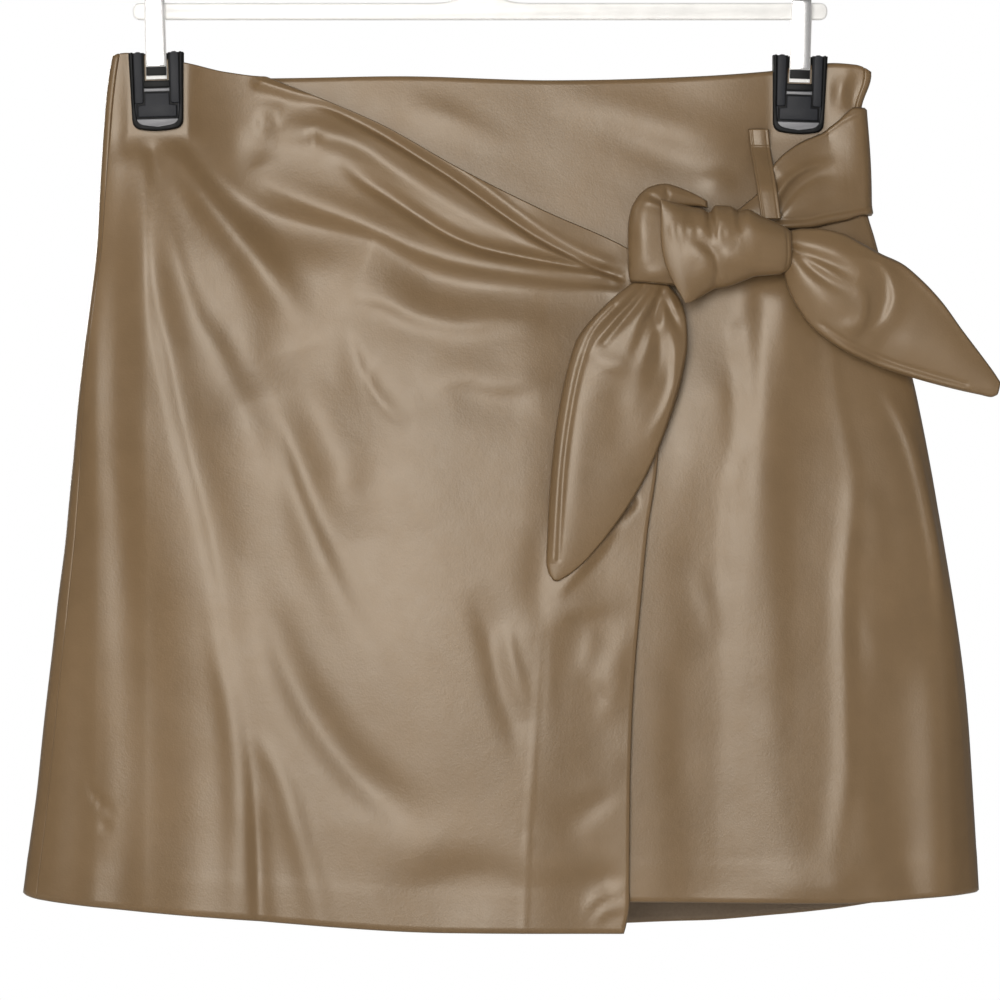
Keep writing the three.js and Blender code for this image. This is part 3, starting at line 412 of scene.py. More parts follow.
UNDER_HEM = [(-232, -500), (-150, -504), (70, -504), (176, -505), (235, -501.5), (252, -500)]
UNDER_LEFT_END = math.pi - 0.36
UNDERLAP, UNDERLAP_HELD = 3.2, 1.75  # how far it lies behind the wrap, free and between a clip's jaws
UNDER_SHOWS = {"from": 92, "fades": 70, "folds": 80, "folds_fade": 25}
WRAP_LEAVES_WAIST = -107
UNDER_FOLDS = [
    (8, 9.6, (3.7, 0.7, -1.4, -1.6), -0.3, [(142, -205.1), (141.5, -255.1), (139.5, -290.1), (137.5, -325.1), (137, -365.1), (135, -405.1), (132.5, -435.1), (131, -465.1), (131, -500.1)]),
    (11.2, 12.8, (2.6, -1.7, -1.3, 0.1), -0.4, [(154.5, -209.9), (156.5, -254.9), (157.5, -304.9), (158.5, -354.9), (158.5, -404.9), (157.5, -444.9), (159.5, -479.9)]),
    (2.8, 3.6, (0.3, 0.5, 1.2, 0.9, 0), 0.1, [(174.5, -225.1), (178.5, -255.1), (182.5, -275.1), (186, -295.1), (184.5, -320.1), (182, -345.1), (181.5, -375.1), (182.5, -405.1), (182.5, -435.1), (179.5, -460.1), (175.5, -480.1), (163.5, -491.1)]),
    (4.5, 10.1, (0, -0.1, 1.6, 2.5), 0.3, [(180.7, -335.3), (185.2, -365.3), (187.7, -405.3), (190.7, -445.3), (193.7, -475.3), (200.2, -500.3)]),
    (5.4, 8, (0, 0.6, 0.7, 0), 0.3, [(189.1, -290.4), (195.6, -310.4), (198.1, -330.4), (199.1, -345.4)]),
    (4.4, 5.5, (0, 0.1, 0), 0, [(194, -335), (200, -355), (203, -375)]),
    (6.4, 8, (0, 0.7, 0), -0.4, [(190.6, -354.4), (196.6, -374.4), (201.6, -399.4)]),
    (9.6, 10, (0, 1.2, 1.8, 0), 0, [(197.4, -254), (204.4, -274), (210.4, -294), (214.9, -314), (219.4, -334), (225.9, -354)]),
    (2.8, 3, (0, 1.8, 2.2, 0), -0.2, [(199, -246.5), (207, -259), (213.5, -274), (219, -294), (223, -314), (226.5, -334), (229, -354), (229, -376)]),
    (8.5, 9, (0, 3.6, 4.4, 4.4), 0.1, [(228, -362), (229, -395), (230, -430), (230.5, -470), (230.5, -503)]),
    (6.3, 9.4, (0.1, 0.3, 0.3, 0), -0.4, [(101.5, -255.3), (103.5, -280.3), (99.5, -305.3), (96, -330.3)]),
    (11.2, 12.8, (1.6, -1.8, -2.6, -2.2), 0.4, [(117.5, -255), (119.5, -305), (119.5, -355), (119.5, -405), (116.5, -455), (116.5, -495)]),
    (3.2, 2.5, (0, 0.4, 0), -0.2, [(106.2, -334.7), (110.2, -349.7), (115.2, -365.7), (117.2, -374.7)]),
    (5.2, 5.1, (0, -0.6, 0), -0.1, [(98.4, -375.1), (96.4, -405.1), (96.4, -440.1), (94.4, -470.1)]),
    (4.8, 6.4, (0, -0.9, 0.2), -0.4, [(82.5, -334.9), (80.5, -374.9), (79, -414.9), (77.5, -454.9), (76.5, -494.9)]),
    (6.4, 8, (0.2, 1, 2.2), -0.2, [(141.1, -498.5), (155.1, -497.5), (175.1, -497.5)]),
    (2.4, 3, (0.6, 0.6, 0), -0.4, [(127.4, -219.9), (130.9, -269.9), (125.9, -294.9), (123.4, -334.9), (122.4, -374.9)]),
    (7, 8, (0, 1.3, 0), -0.1, [(30, -101), (60, -107.5), (90, -118), (116, -126.5), (135, -130)]),
    (6, 7, (0, -0.9, 0), 0, [(60, -119), (95, -132.5), (130, -139)]),
    (5, 5, (0, 0.8, 0), 0, [(-40, -105), (-15, -114), (20, -130)]),
    (4, 4, (0, 1.0, 0), -0.2, [(110, -140), (118, -146), (129, -147)]),
    (3, 4, (0.5, 1.6, 0), 0.3, [(184, -93), (181, -101), (183, -111)]),
    (3, 4, (-0.4, -1.2, 0), 0, [(188, -96), (186.5, -103), (188.5, -111)]),
]


def under_turn(across, z):
    return blend(right_seam(z) + half_gap(right_seam(z), z), UNDER_LEFT_END, across)


def under_top(x):
    return waist(x) - np.where(x < WRAP_LEAVES_WAIST, 1.5, 0)


def under_stands(x, z, turn):
    loose = free_of_clips(x, z)
    covered = 1 - ease((x - UNDER_SHOWS["from"]) / UNDER_SHOWS["fades"])
    seen = ease((x - UNDER_SHOWS["folds"]) / UNDER_SHOWS["folds_fade"])
    open_top = ease((z + 205) / 30) * (1 - seen)
    behind = blend(UNDERLAP, UNDERLAP_HELD, held_flat(x, z)) * covered
    folds = (seen + open_top) * (folds_at(UNDER_FOLDS, x, z) + 0.25 * ripples(x, z, 38, 5))
    by_side = ease((right_side(z) - x) / 6)
    return loose * folds * by_side - behind + 0.35 * seen


def under_thick(x, z, turn, up):
    share = ease((x - 60) / 60) * faced(x, z, turn)
    return blend(LEATHERETTE, FACING["front"], share) + turned_up(up)


under = sheet_mesh("skirt_under_front", *panel(
    under_turn, under_top, curve(UNDER_HEM), 190, 170, under_stands, under_thick,
), inward_backing)
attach(under, "root")
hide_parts("front_under_panel")

# ---- Wrap front ------------------------------------------------------------------------------------
# The outer front panel is joined at the left side seam and wraps over the under front. Its upper edge
# falls from the waist to the knot, where the cloth is gathered, and its free edge is faced.

WRAP_UPPER_EDGE = [(-107, -94), (-90, -101), (-50, -118), (-10, -140.5), (30, -160.5), (72, -179), (93, -193)]
WRAP_FREE_EDGE = [
    (-193, 92), (-250, 90.5), (-290, 87.5), (-320, 83), (-350, 80), (-385, 76.8), (-415, 75), (-455, 74),
    (-505, 73.5), (-520, 71),
]
WRAP_HEM = [(-232, -500.5), (-221, -503.5), (-180, -508), (-120, -512.5), (-14, -519), (75, -519.5)]
KNOT_PRESS = {"from": 68, "fades": 16, "below": -215, "fades_below": 12, "flat": 0.6}
WRAP_LIFT = {"edge": 1.2, "middle": 4.2}  # it stands off the under front, which leaves room for its valleys
WRAP_FOLDS = [
    (6.4, 7.7, (-0.1, 3.5, 1.8, 2.5), 0, [(-189.5, -120), (-191, -150), (-192.5, -180), (-193, -215), (-193, -255), (-191.5, -290), (-189, -325), (-188.5, -365), (-188, -405), (-186.5, -445), (-188, -475), (-191.5, -505)]),
    (9.6, 12.8, (1.7, 0.6, -2.9, -1.4), -0.1, [(-181.1, -140.1), (-182.1, -180.1), (-181.6, -225.1), (-180.1, -270.1), (-177.1, -310.1), (-172.1, -355.1), (-167.1, -405.1), (-166.1, -455.1), (-169.1, -505.1)]),
    (3.4, 4.2, (0.2, 0.6, 0.2, 0), 0.4, [(-167.1, -129.9), (-168.1, -154.9), (-167.6, -179.9), (-166.1, -209.9), (-162.6, -234.9), (-158.1, -254.9), (-153.6, -279.9), (-148.6, -299.9), (-142.6, -319.9), (-136.6, -344.9), (-132.6, -369.9)]),
    (3.6, 5.4, (0.1, 1.0, 1.3, 1.0), 0, [(-133, -362), (-127.5, -392), (-123, -415), (-120.5, -440), (-119.5, -470), (-120, -512)]),
    (2.4, 7.6, (0, -0.9, -1.1, 0), -0.4, [(-164.9, -165.5), (-159.9, -205.5), (-153.9, -230.5), (-148.9, -255.5), (-142.9, -280.5), (-135.9, -305.5), (-128.9, -335.5), (-123.9, -365.5), (-120.4, -400.5)]),
    (3, 11.2, (-1.2, 1.7, 1.7, 0), 0.2, [(-164.1, -129.7), (-158.1, -154.7), (-153.1, -179.7), (-147.6, -199.7), (-141.1, -217.2), (-132.6, -229.7), (-125.1, -247.2), (-117.6, -267.2), (-111.1, -287.2), (-106.1, -309.7), (-101.6, -334.7)]),
    (3.2, 5.6, (0, 0.9, 1.2, 0.9), 0, [(-114, -418), (-104, -432), (-96.5, -448), (-91, -468), (-84, -492), (-78, -518)]),
    (2.6, 3.4, (0, -0.6, -1.4, -1.4), -0.3, [(-114.5, -418), (-112, -448), (-110.5, -475), (-109, -515)]),
    (6, 8.4, (0, -1.8, -2.5, 0), -0.1, [(-114, -330), (-102.3, -366.5), (-93.3, -391.5), (-79.8, -416.5), (-62.3, -439), (-42.3, -456.5), (-22.3, -474)]),
    (4.2, 8.5, (-0.3, 3.6, 3.7, 0), 0, [(-158.6, -119.1), (-151.1, -133.1), (-143.1, -145.6), (-135.1, -157.1), (-126.1, -167.1), (-114.6, -180.6), (-104.6, -195.6), (-94.6, -210.6), (-88.1, -228.1)]),
    (11.2, 9.6, (0, 2.3, 2.5, 0), 0.1, [(-94.3, -231.1), (-87.3, -251.1), (-80.3, -268.6), (-73.3, -286.1), (-67.3, -306.1), (-61.3, -326.1)]),
    (3.3, 9, (0, 1.5, 0.6, 0), 0.2, [(-102.6, -264), (-96.6, -284), (-90.6, -304), (-81.6, -326.5), (-71.6, -349), (-62.6, -366.5), (-53.6, -384), (-42.6, -406.5), (-32.6, -426.5)]),
    (8.3, 12.8, (0, -1.7, -0.8, 0), -0.3, [(-106.2, -235.8), (-98.2, -260.8), (-90.2, -280.8), (-81.2, -300.8), (-71.2, -325.8), (-62.2, -355.8), (-53.2, -380.8)]),
    (3, 8, (0, -1, -0.9, 0), 0.3, [(-67.2, -218), (-61.2, -238), (-54.2, -253), (-44.7, -263), (-32.2, -267)]),
    (6.2, 9.6, (0, 0.5, 0), 0, [(-67.9, -270.1), (-61.4, -285.1), (-58.4, -300.1)]),
    (9.6, 12, (0, 0.1, -2.1, 0), 0.1, [(-150.2, -156.3), (-138.2, -181.3), (-127.2, -201.3), (-120.2, -221.3), (-115.2, -241.3), (-110.2, -256.3)]),
    (26, 30, (0, 0.9, 0.6, 0), 0, [(-31.1, -220.1), (-26.1, -280.1), (-26.1, -335.1), (-26.1, -405.1), (-8.6, -455.1)]),
    (11, 12, (0, 0.8, 1.8, 1.8), 0.2, [(-206.5, -304.9), (-210.5, -379.9), (-214.5, -494.9)]),
    (12, 14, (0, 1.2, 2.2), 0.1, [(-148.5, -435.3), (-141, -475.3), (-141, -512.8)]),
    (11.1, 6.8, (0, -1.2, -3.4, 0), 0.4, [(-149.6, -126.4), (-138.6, -138.4), (-127.6, -149.9), (-113.6, -159.9), (-96.1, -166.4), (-73.6, -172.4), (-53.6, -177.4)]),
    (12.4, 8.4, (0, -3.4, -3, -2), 0.4, [(-54.4, -182.5), (-34.4, -191.5), (-14.4, -198), (10.6, -201.5), (35.6, -203), (60.6, -201.5)]),
    (6.4, 8, (0, 1.9, 1.8, 0), -0.4, [(-69.6, -201.8), (-49.6, -204.3), (-29.6, -212.8), (-9.6, -216.8), (10.4, -214.8), (32.9, -214.3)]),
    (6.4, 8, (0, -1.8, 0), -0.3, [(-4.1, -349), (2.4, -364), (8.4, -384), (13.4, -404), (19.4, -424), (24.4, -449)]),
    (2.8, 6.4, (0, 1.2, 0), 0.3, [(13, -365.2), (15, -380.2), (19, -400.2), (22, -415.2)]),
    (4.8, 6.4, (0, -1.1, 0), 0.2, [(27.5, -314.8), (29.5, -334.8), (28.5, -354.8), (30, -369.8)]),
    (3.4, 3, (0, 0.3, 0), -0.4, [(36, -350.2), (35, -375.2), (34, -400.2), (32.5, -425.2)]),
    (4.8, 6.4, (0, -0.2, 0), 0.3, [(46.3, -365.2), (40.3, -385.2), (38.3, -405.2), (37.8, -430.2)]),
    (2.1, 2.4, (-2.1, 2, 0), 0.4, [(75.6, -307.2), (62.1, -324.7), (49.6, -339.7), (37.6, -353.7)]),
    (8, 3.6, (0.4, 0.9, 0), 0.3, [(73.6, -351.9), (58.6, -355.9), (46.1, -359.4), (36.1, -369.4)]),
    (3.8, 5.3, (0, 0.6, 0), -0.3, [(57, -365.4), (54.5, -380.4), (51, -395.4)]),
    (4.8, 6.4, (0.1, 1.1, 0), 0, [(75.3, -366.4), (68.8, -381.4), (62.8, -396.4), (57.8, -401.4)]),
    (4.8, 3.2, (0.3, 0.4, 0), -0.3, [(70.4, -397.9), (63.9, -406.9), (58.4, -416.9)]),
    (6.4, 14.4, (-0.5, 0.5, -0.2, 0), -0.1, [(74.3, -442.2), (61.3, -449.7), (46.3, -454.7), (33.8, -462.2), (21.3, -472.2)]),
    (3, 6.2, (-0.1, -0.9, 0), 0.1, [(67.9, -450.2), (57.9, -456.2), (48.9, -462.2), (37.9, -472.2)]),
    (1.5, 1.4, (0, -0.2, 0), -0.2, [(18.9, -471.8), (23.9, -468.8), (28.9, -466.8)]),
    (19.2, 7.2, (0, -2.4, -0.9, -1.3), 0.4, [(-49.5, -511), (-24.5, -498.5), (0.5, -492.5), (30.5, -498.5), (60.5, -493.5)]),
    (5.6, 4, (0, 0.7, 0.5, 0), -0.3, [(-27.6, -252), (-20.1, -247.5), (-5.1, -243.5), (9.9, -247), (24.9, -246), (37.4, -244.5)]),
    (4.8, 6.4, (0, -0.5, -0.5, 0), 0.4, [(-15.1, -253.4), (-0.1, -255.4), (14.9, -256.4), (29.9, -254.4)]),
    (2.4, 4.4, (0, -0.5, 0), -0.4, [(-51.2, -232.6), (-54.2, -245.1), (-45.2, -260.1), (-35.2, -267.6)]),
    (1.2, 1.2, (0, -0.9, 0), -0.3, [(-197, -446.5), (-190, -455), (-181, -461)]),
    (1.2, 1.2, (0, -0.7, 0), -0.3, [(-191, -466), (-182, -469.5)]),
    (1.8, 2.2, (0, 0.9, 0.5), -0.3, [(51, -511), (59, -502.5), (69, -499)]),
    (1.8, 2.2, (0, 0.8, 0.5), -0.3, [(56, -516), (63, -509), (71, -507)]),
    (1, 1, (0, 0.3, 0.3), 0, [(32.5, -350), (29, -395), (25.5, -445), (23, -480), (21.5, -522.5)]),
]
WRAP_GATHERS = [
    (2.2, 1.7, (2.1, 1, 0.5, -0.3), 0.2, [(-108.8, -96.7), (-89.8, -102.7), (-69.8, -107.7), (-54.8, -113.7), (-39.8, -121.7), (-19.8, -134.7), (0.2, -147.7), (17.7, -161.2), (35.2, -172.7), (60.2, -185.7), (72.7, -191.7)]),
    (2.0, 1.5, (0, -2.2, -2.6, -2.4), -0.3, [(-90.3, -105.5), (-75.3, -109.5), (-60.3, -117.5), (-45.3, -125.5), (-30.3, -134.5), (-15.3, -144), (-0.3, -154.5), (14.7, -165.5), (29.7, -175.5), (47.2, -184.5), (69.7, -194)]),
    (5.6, 3.8, (0, 2.7, 1.1, 2.1), -0.1, [(-108.7, -118.4), (-97.2, -121.4), (-87.2, -121.4), (-74.7, -123.4), (-59.7, -128.4), (-44.7, -138.4), (-29.7, -148.4), (-14.7, -157.4), (0.3, -166.4), (15.3, -173.4), (32.8, -181.9), (60.3, -190.4)]),
    (3, 1.8, (0, 0.2, 0.6, 0), 0.2, [(-104.9, -104.9), (-84.9, -110.9), (-64.9, -117.4), (-44.9, -128.9), (-24.9, -143.9)]),
    (3.0, 1.5, (0, -2.2, -3.0, -2.4), -0.1, [(-69.7, -134.4), (-59.7, -144.4), (-44.7, -154.4), (-29.7, -164.4), (-14.7, -173.4), (0.3, -179.4), (17.8, -183.4), (40.3, -187.4), (62.8, -191.4)]),
    (6, 2.6, (0, 2.4, 1.8, 1.4), -0.4, [(-114.6, -139.5), (-98.1, -151), (-80.6, -159.5), (-63.1, -166), (-48.1, -172), (-33.1, -180), (-18.1, -185.5), (-0.6, -189.5), (19.4, -192.5), (39.4, -195.5), (66.9, -198)]),
    (3.4, 3.2, (0, -0.6, 0), -0.4, [(-107.5, -109.2), (-108.5, -117.7), (-105.5, -126.2)]),
    (1.8, 2.5, (0, -0.7, 0), -0.2, [(-85, -120.2), (-83, -125.2), (-83, -131.2)]),
    (3.2, 3.2, (0, 0.6, 0), 0.4, [(-98.7, -105.1), (-101.2, -112.6), (-102.7, -119.1)]),
    (4.8, 6.4, (0, -0.9, 0), -0.1, [(-112.6, -116.7), (-111.6, -129.2), (-107.6, -138.2)]),
]


free_edge = curve(WRAP_FREE_EDGE)
upper_edge = curve(WRAP_UPPER_EDGE)


def wrap_turn(across, z):
    edge = free_edge(z)
    return blend(left_seam(z) - half_gap(left_seam(z), z), turn_for(edge, z), across)


def wrap_top(x):
    return np.where(x < WRAP_LEAVES_WAIST, waist(x), upper_edge(x))


def wrap_stands(x, z, turn):
    loose = free_of_clips(x, z)
    press = KNOT_PRESS
    pressed = press["flat"] * ease((x - press["from"]) / press["fades"])
    pressed = pressed * ease((z - press["below"]) / press["fades_below"])
    lifted = blend(WRAP_LIFT["middle"], WRAP_LIFT["edge"], ease((x - 20) / 45))
    lifted = lifted * ease((x + 190) / 25) * (1 - pressed) * (1 - held_flat(x, z))
    folds = folds_at(WRAP_FOLDS, x, z) + (1 - pressed) * folds_at(WRAP_GATHERS, x, z)
    level = loose * (folds + lifted + 0.3 * ripples(x, z, 42, 8))
    return 0.6 * np.logaddexp(0, (level + 1) / 0.6) - 1.4


wrap = sheet_mesh("skirt_wrap_front", *panel(
    wrap_turn, wrap_top, curve(WRAP_HEM), 214, 220, wrap_stands,
    lambda x, z, turn, up: LEATHERETTE + turned_up(up), 1.45,
), inward_backing)
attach(wrap, "root")
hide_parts("front_wrap_panel")

# ---- Sash ------------------------------------------------------------------------------------------
# A doubled strip of the same cloth, sewn down at the back. It comes round the right side over the
# panels, runs under the belt loop and is drawn together into the knot.

SASH_EDGES = [  # across, upper edge, lower edge, how far it stands off the panels
    (128, -160.5, -164, 4), (133, -157, -167, 5), (139, -152, -169, 5.5), (148, -137.5, -169.5, 5.5),
    (160, -128, -168.8, 4.5), (171, -122.8, -166.5, 3.5), (183, -114, -164, 3),
]
SASH_AT_SIDE = (-109.5, -162, 2.9)
SASH_RUN = {"knot": 0.85, "side": 0.35, "back": 0.2, "sewn": -0.4}
SASH_THICK = 2.2
SASH_FOLDS = [
    (1.5, 1.8, (1.5, 1.8, 1.3, 0.2), -0.35, [(145, -163), (150, -152), (157, -144), (164.5, -139.5), (174, -137)]),
    (1.6, 2.6, (-1.2, -1.6, -1.0, -0.1), 0, [(147, -166), (153, -155.5), (160, -148), (168, -143.5), (178, -141.5)]),
    (3, 4, (1.0, 1.0, 0.2), 0, [(149, -141), (160, -131), (172, -124), (185, -118)]),
    (3, 5, (0.2, 0.9, 0.9, 0.2), 0, [(152, -166), (165, -159), (176, -153), (188, -150)]),
    (2.5, 4, (-0.8, -0.8, -0.1), 0, [(150, -167), (162, -164), (180, -158)]),
    (1.1, 1.1, (0.7, 0.7, 0.5), 0, [(147, -169), (160, -168), (171, -165.5), (183, -163), (194, -161)]),
    (0.8, 0.8, (-0.4, -0.4, -0.3), 0, [(151, -166), (162, -165.5), (172, -163), (184, -160.5), (194, -158.5)]),
    (0.9, 0.9, (0.5, 0.5, 0.4), 0, [(139, -151.5), (148, -138), (160, -128.5), (171, -123), (183, -114.5), (192, -110)]),
]
upper, lower, standing = (curve([(row[0], row[i]) for row in SASH_EDGES]) for i in (1, 2, 3))

turn = blend(SASH_RUN["knot"], SASH_RUN["sewn"], np.linspace(0, 1, 150))[None, :]
share = np.linspace(0, 1, 71)[:, None]
x = on_skirt(turn, (SASH_AT_SIDE[0] + SASH_AT_SIDE[1]) / 2)[..., 0]
front = ease((turn - SASH_RUN["back"]) / (SASH_RUN["side"] - SASH_RUN["back"]))
z = blend(blend(SASH_AT_SIDE[0], upper(x), front), blend(SASH_AT_SIDE[1], lower(x), front), share)
place, out = on_skirt(turn, z), skirt_out(turn, z)
lift = blend(SASH_AT_SIDE[2], standing(x), front) + 1.2 * np.sin(math.pi * share)
lift = lift + folds_at(SASH_FOLDS, place[..., 0], z) * ease(np.sin(turn) * 9)
lift = lift + folds_at(BACK_FOLDS, place[..., 0], z) * ease(-np.sin(turn) * 12 + 0.5)
lift = lift - 0.35 * np.exp(-(((place[..., 0] - on_skirt(SASH_RUN["sewn"] + 0.03, -135)[..., 0]) / 0.5) ** 2)) * (turn < 0)
outer = place + out * lift[..., None]
knot_film = leatherette("leatherette_tie", wear=0.7)
sash = sheet_mesh("sash_cloth", outer, outer - out * SASH_THICK, [knot_film], edge=0.5)
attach(sash, "root")
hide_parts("sash")

# ---- Belt loop -------------------------------------------------------------------------------------
# A narrow strip, folded under at its top end and sewn across there, with a row of stitching along both
# edges. It bridges the sash and is caught behind the knot at its lower end.

LOOP_WIDE, LOOP_THICK = 9.2, 1.1
LOOP_RUN = [(139.3, -119.8, 1.9), (140, -127, 2.2), (141.6, -139, 7), (143.4, -152, 11.2), (145, -164.6, 11.6)]
LOOP_TACK = -128.2  # the height of the stitching across

share = np.linspace(0, 1, len(LOOP_RUN))
across_run, height_run, stand_run = (curve(zip(share, column)) for column in zip(*LOOP_RUN))
down = np.linspace(0, 1, 90)[:, None]
aside = np.linspace(-1, 1, 29)[None, :] * LOOP_WIDE / 2
x, z = across_run(down) + aside, height_run(down) + 0 * aside
front = on_skirt(turn_for(across_run(down), z), z)[..., 1] - stand_run(down)
inset = LOOP_WIDE / 2 - np.abs(aside)
lift = 0.35 * np.sin(math.pi * (aside / LOOP_WIDE + 0.5)) - 0.32 * np.exp(-(((inset - 1.1) / 0.35) ** 2))
lift = lift + 0.55 * ease((z - LOOP_TACK + 0.6) / 1.2) - 0.5 * np.exp(-(((z - LOOP_TACK) / 0.5) ** 2))
lift = lift + 0.12 * ripples(x * 3, z, 16, 4)
outer = np.stack([x, front - lift, z], axis=-1)
inner = np.stack([x, front + LOOP_THICK + 0 * lift, z], axis=-1)
loop = sheet_mesh("belt_loop_strip", outer, inner, [knot_film], edge=0.35)
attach(loop, "root")
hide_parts("belt_loop")

# ---- Knot ------------------------------------------------------------------------------------------
# The sash and the wrap's gathered end are tied once: a turn of cloth stands upright at the left, its
# top tucked away to the right, and the gathered body of the knot folds over it.


def roll_mesh(name, sections, steps, sides, squareness, folds, finish, bow_in=0):
    """A roll of cloth from sections (upper x and z, lower x and z, y, half depth), closed at its ends. The
    first section's line can be bowed in, towards the start."""
    share = np.linspace(0, 1, len(sections))
    read = [curve(zip(share, column)) for column in zip(*sections)]
    s = (1 - np.cos(np.linspace(0, math.pi, steps + 1))[:, None]) / 2
    s = blend(s, np.linspace(0, 1, steps + 1)[:, None], 0.6)
    ux, uz, lx, lz, y, deep = (column(s) for column in read)
    angle = np.linspace(0, 2 * math.pi, sides, endpoint=False)[None, :]
    along = np.sign(np.cos(angle)) * np.abs(np.cos(angle)) ** (2 / squareness)
    depth = np.sign(np.sin(angle)) * np.abs(np.sin(angle)) ** (2 / squareness)
    close = np.sqrt(np.clip(1 - (1 - np.minimum(s, 1 - s) / 0.035) ** 2, 0.02, 1)) * (np.minimum(s, 1 - s) < 0.035)
    close = np.where(np.minimum(s, 1 - s) < 0.035, np.maximum(close, 0.15), 1)
    x = (ux + lx) / 2 + (ux - lx) / 2 * along
    z = (uz + lz) / 2 + (uz - lz) / 2 * along
    x = x - bow_in * np.sin(math.pi * ((1 - along) / 2) ** 1.2) * ease(1 - s / 0.4)
    relief = folds_at(folds, x, z) * ease(-depth * 1.6)
    y = y + depth * deep * close - relief * ease((close - 0.1) / 0.8)
    points = np.stack([x, y, z], axis=-1).reshape(-1, 3)
    rings = np.arange((steps + 1) * sides).reshape(steps + 1, sides)
    after = np.roll(rings, -1, axis=1)
    faces = np.stack([rings[:-1], after[:-1], after[1:], rings[1:]], axis=-1).reshape(-1, 4).tolist()
    faces += [rings[0, ::-1].tolist(), rings[-1].tolist()]
    mesh = bpy.data.meshes.new(name)
    mesh.from_pydata((points * 0.001).tolist(), [], faces)
    shaped = bmesh.new()
    shaped.from_mesh(mesh)
    bmesh.ops.recalc_face_normals(shaped, faces=shaped.faces)
    shaped.to_mesh(mesh)
    shaped.free()
    mesh.materials.append(finish)
    mesh.polygons.foreach_set("use_smooth", np.ones(len(mesh.polygons), bool))
    piece = bpy.data.objects.new(name, mesh)
    bpy.context.collection.objects.link(piece)
    return piece


UPRIGHT_TURN = [  # left point, right point, y, half depth, from its foot up and over to the right
    (74.8, -196.8, 99.2, -198.6, -26.8, 6), (73.9, -193, 100.4, -195, -27.4, 7.4), (73.5, -185, 99.6, -187, -28, 8.4),
    (73.4, -172, 98.2, -174, -28, 8.6), (74.6, -162, 97, -167, -27.8, 8.2), (78.2, -154.5, 96.2, -161.5, -27.4, 7.2),
    (84.5, -149.2, 97, -160, -27, 6), (92, -147.6, 99, -159.2, -26.6, 4.8), (100, -149.8, 103, -159, -26, 3.8),
    (107, -152.8, 108.6, -159, -25.4, 3), (113, -156.2, 113.6, -159.8, -24.8, 2.2),
]
TURN_FOLDS = [
    (3.4, 3.4, (0.2, 0.7, 0.3), 0.2, [(84, -194), (82, -182), (81, -168), (84, -158)]),
    (1.2, 1.2, (-0.3, -0.9, -0.3), 0, [(83.5, -153.5), (88, -156), (93, -157.5)]),
    (1.0, 1.0, (0.2, 0.6, 0.2), 0, [(82, -157), (86.5, -157.4), (90.5, -159.4)]),
    (0.9, 0.9, (-0.4, -0.8, -0.4), 0, [(92.6, -148.5), (93, -152), (92.4, -157)]),
    (1.2, 1.2, (0.2, 0.5, 0.2), 0, [(94, -151.6), (100, -153.8), (107, -156)]),
    (2.8, 2.8, (0.4, 1.1, 0.6), 0, [(80, -194), (87, -193.4), (93, -192)]),
]
KNOT_SECTIONS = [  # upper point, lower point, y, half depth, from the crisp left fold to the right end
    (89.6, -155.8, 102, -207.2, -37.6, 0.9), (90.8, -156, 103, -207.2, -36.8, 2.4),
    (94.5, -156.8, 105.4, -206.6, -35.2, 4.8), (99.5, -158, 109, -204.6, -32.4, 7.8),
    (105, -159.2, 113, -202.2, -30, 10), (110.4, -160.2, 117.6, -199.9, -28.9, 11), (113.8, -162, 120.8, -199.6, -28.7, 11.2),
    (117.4, -158.4, 124, -198.9, -28.5, 11.3), (124, -158.8, 129, -197, -28.2, 11), (128.8, -161.2, 133, -195.4, -28, 10.8),
    (133, -160.4, 137, -194, -27.8, 10.6), (140, -163.8, 143, -193.4, -27.4, 9.8),
    (147.5, -167, 149.5, -192.7, -27, 8.6), (152.5, -169.6, 153, -190.8, -26.8, 7.2),
    (155.2, -172, 155.4, -188, -26.6, 5.8),
]
KNOT_FOLDS = [
    (1.5, 1.6, (-1.3, -1.5, -0.8, 0), 0, [(113.8, -158), (114, -164), (114.8, -171), (117, -178)]),
    (1.4, 1.4, (-0.9, -0.9, 0), 0, [(128.8, -159.5), (128.6, -166), (130, -173)]),
    (2.4, 2.6, (0.3, 0.6, 0), 0, [(119.4, -160), (120.5, -166), (121, -173)]),
    (2, 2, (0, -0.4, 0), 0, [(103, -158.5), (104.5, -164), (105, -170)]),
    (1.5, 1.4, (0, 0.3, 0), 0, [(96.4, -165), (95.6, -171), (97.4, -178)]),
    (1.4, 1.3, (0, 0.26, 0), 0, [(101, -166), (100, -170.5), (101.6, -176)]),
    (1.5, 1.4, (0, 0.32, 0), 0, [(106, -166.5), (105, -171), (106.4, -176)]),
    (1.6, 1.4, (0, 0.3, 0), 0, [(110.8, -167), (110, -171), (112, -176)]),
    (1.5, 1.4, (0, 0.28, 0), 0, [(119, -168), (118, -172.5), (120.4, -177)]),
    (1.5, 1.4, (0, 0.24, 0), 0, [(124.6, -168.5), (123.4, -172.5), (125, -176)]),
    (2, 1.8, (0, -0.9, -1.1, -0.6), -0.3, [(103, -174), (111.5, -178.5), (117, -185.5), (118, -192), (117, -200)]),
    (3.4, 3.2, (0, 0.7, 0.8, 0.3), 0, [(101, -179.5), (108, -183), (112, -189), (113, -197)]),
    (3.8, 4.4, (0, 0.7, 0), 0, [(121, -180), (128, -184), (140, -184)]),
    (3.2, 3.2, (0, -0.7, 0), 0, [(119, -195), (123, -192.5), (129, -194.5)]),
    (4.4, 4.4, (0, 0.6, 0), 0, [(129, -168), (140, -172), (149, -176)]),
    (0.5, 0.5, (-0.4, -0.5, -0.4), 0, [(151.6, -168.5), (152.6, -175), (152.9, -183), (152, -191.5)]),
    (0.5, 0.5, (-0.35, -0.4, -0.35), 0, [(153.2, -170), (154.2, -176), (154.4, -183), (153.6, -190.5)]),
]
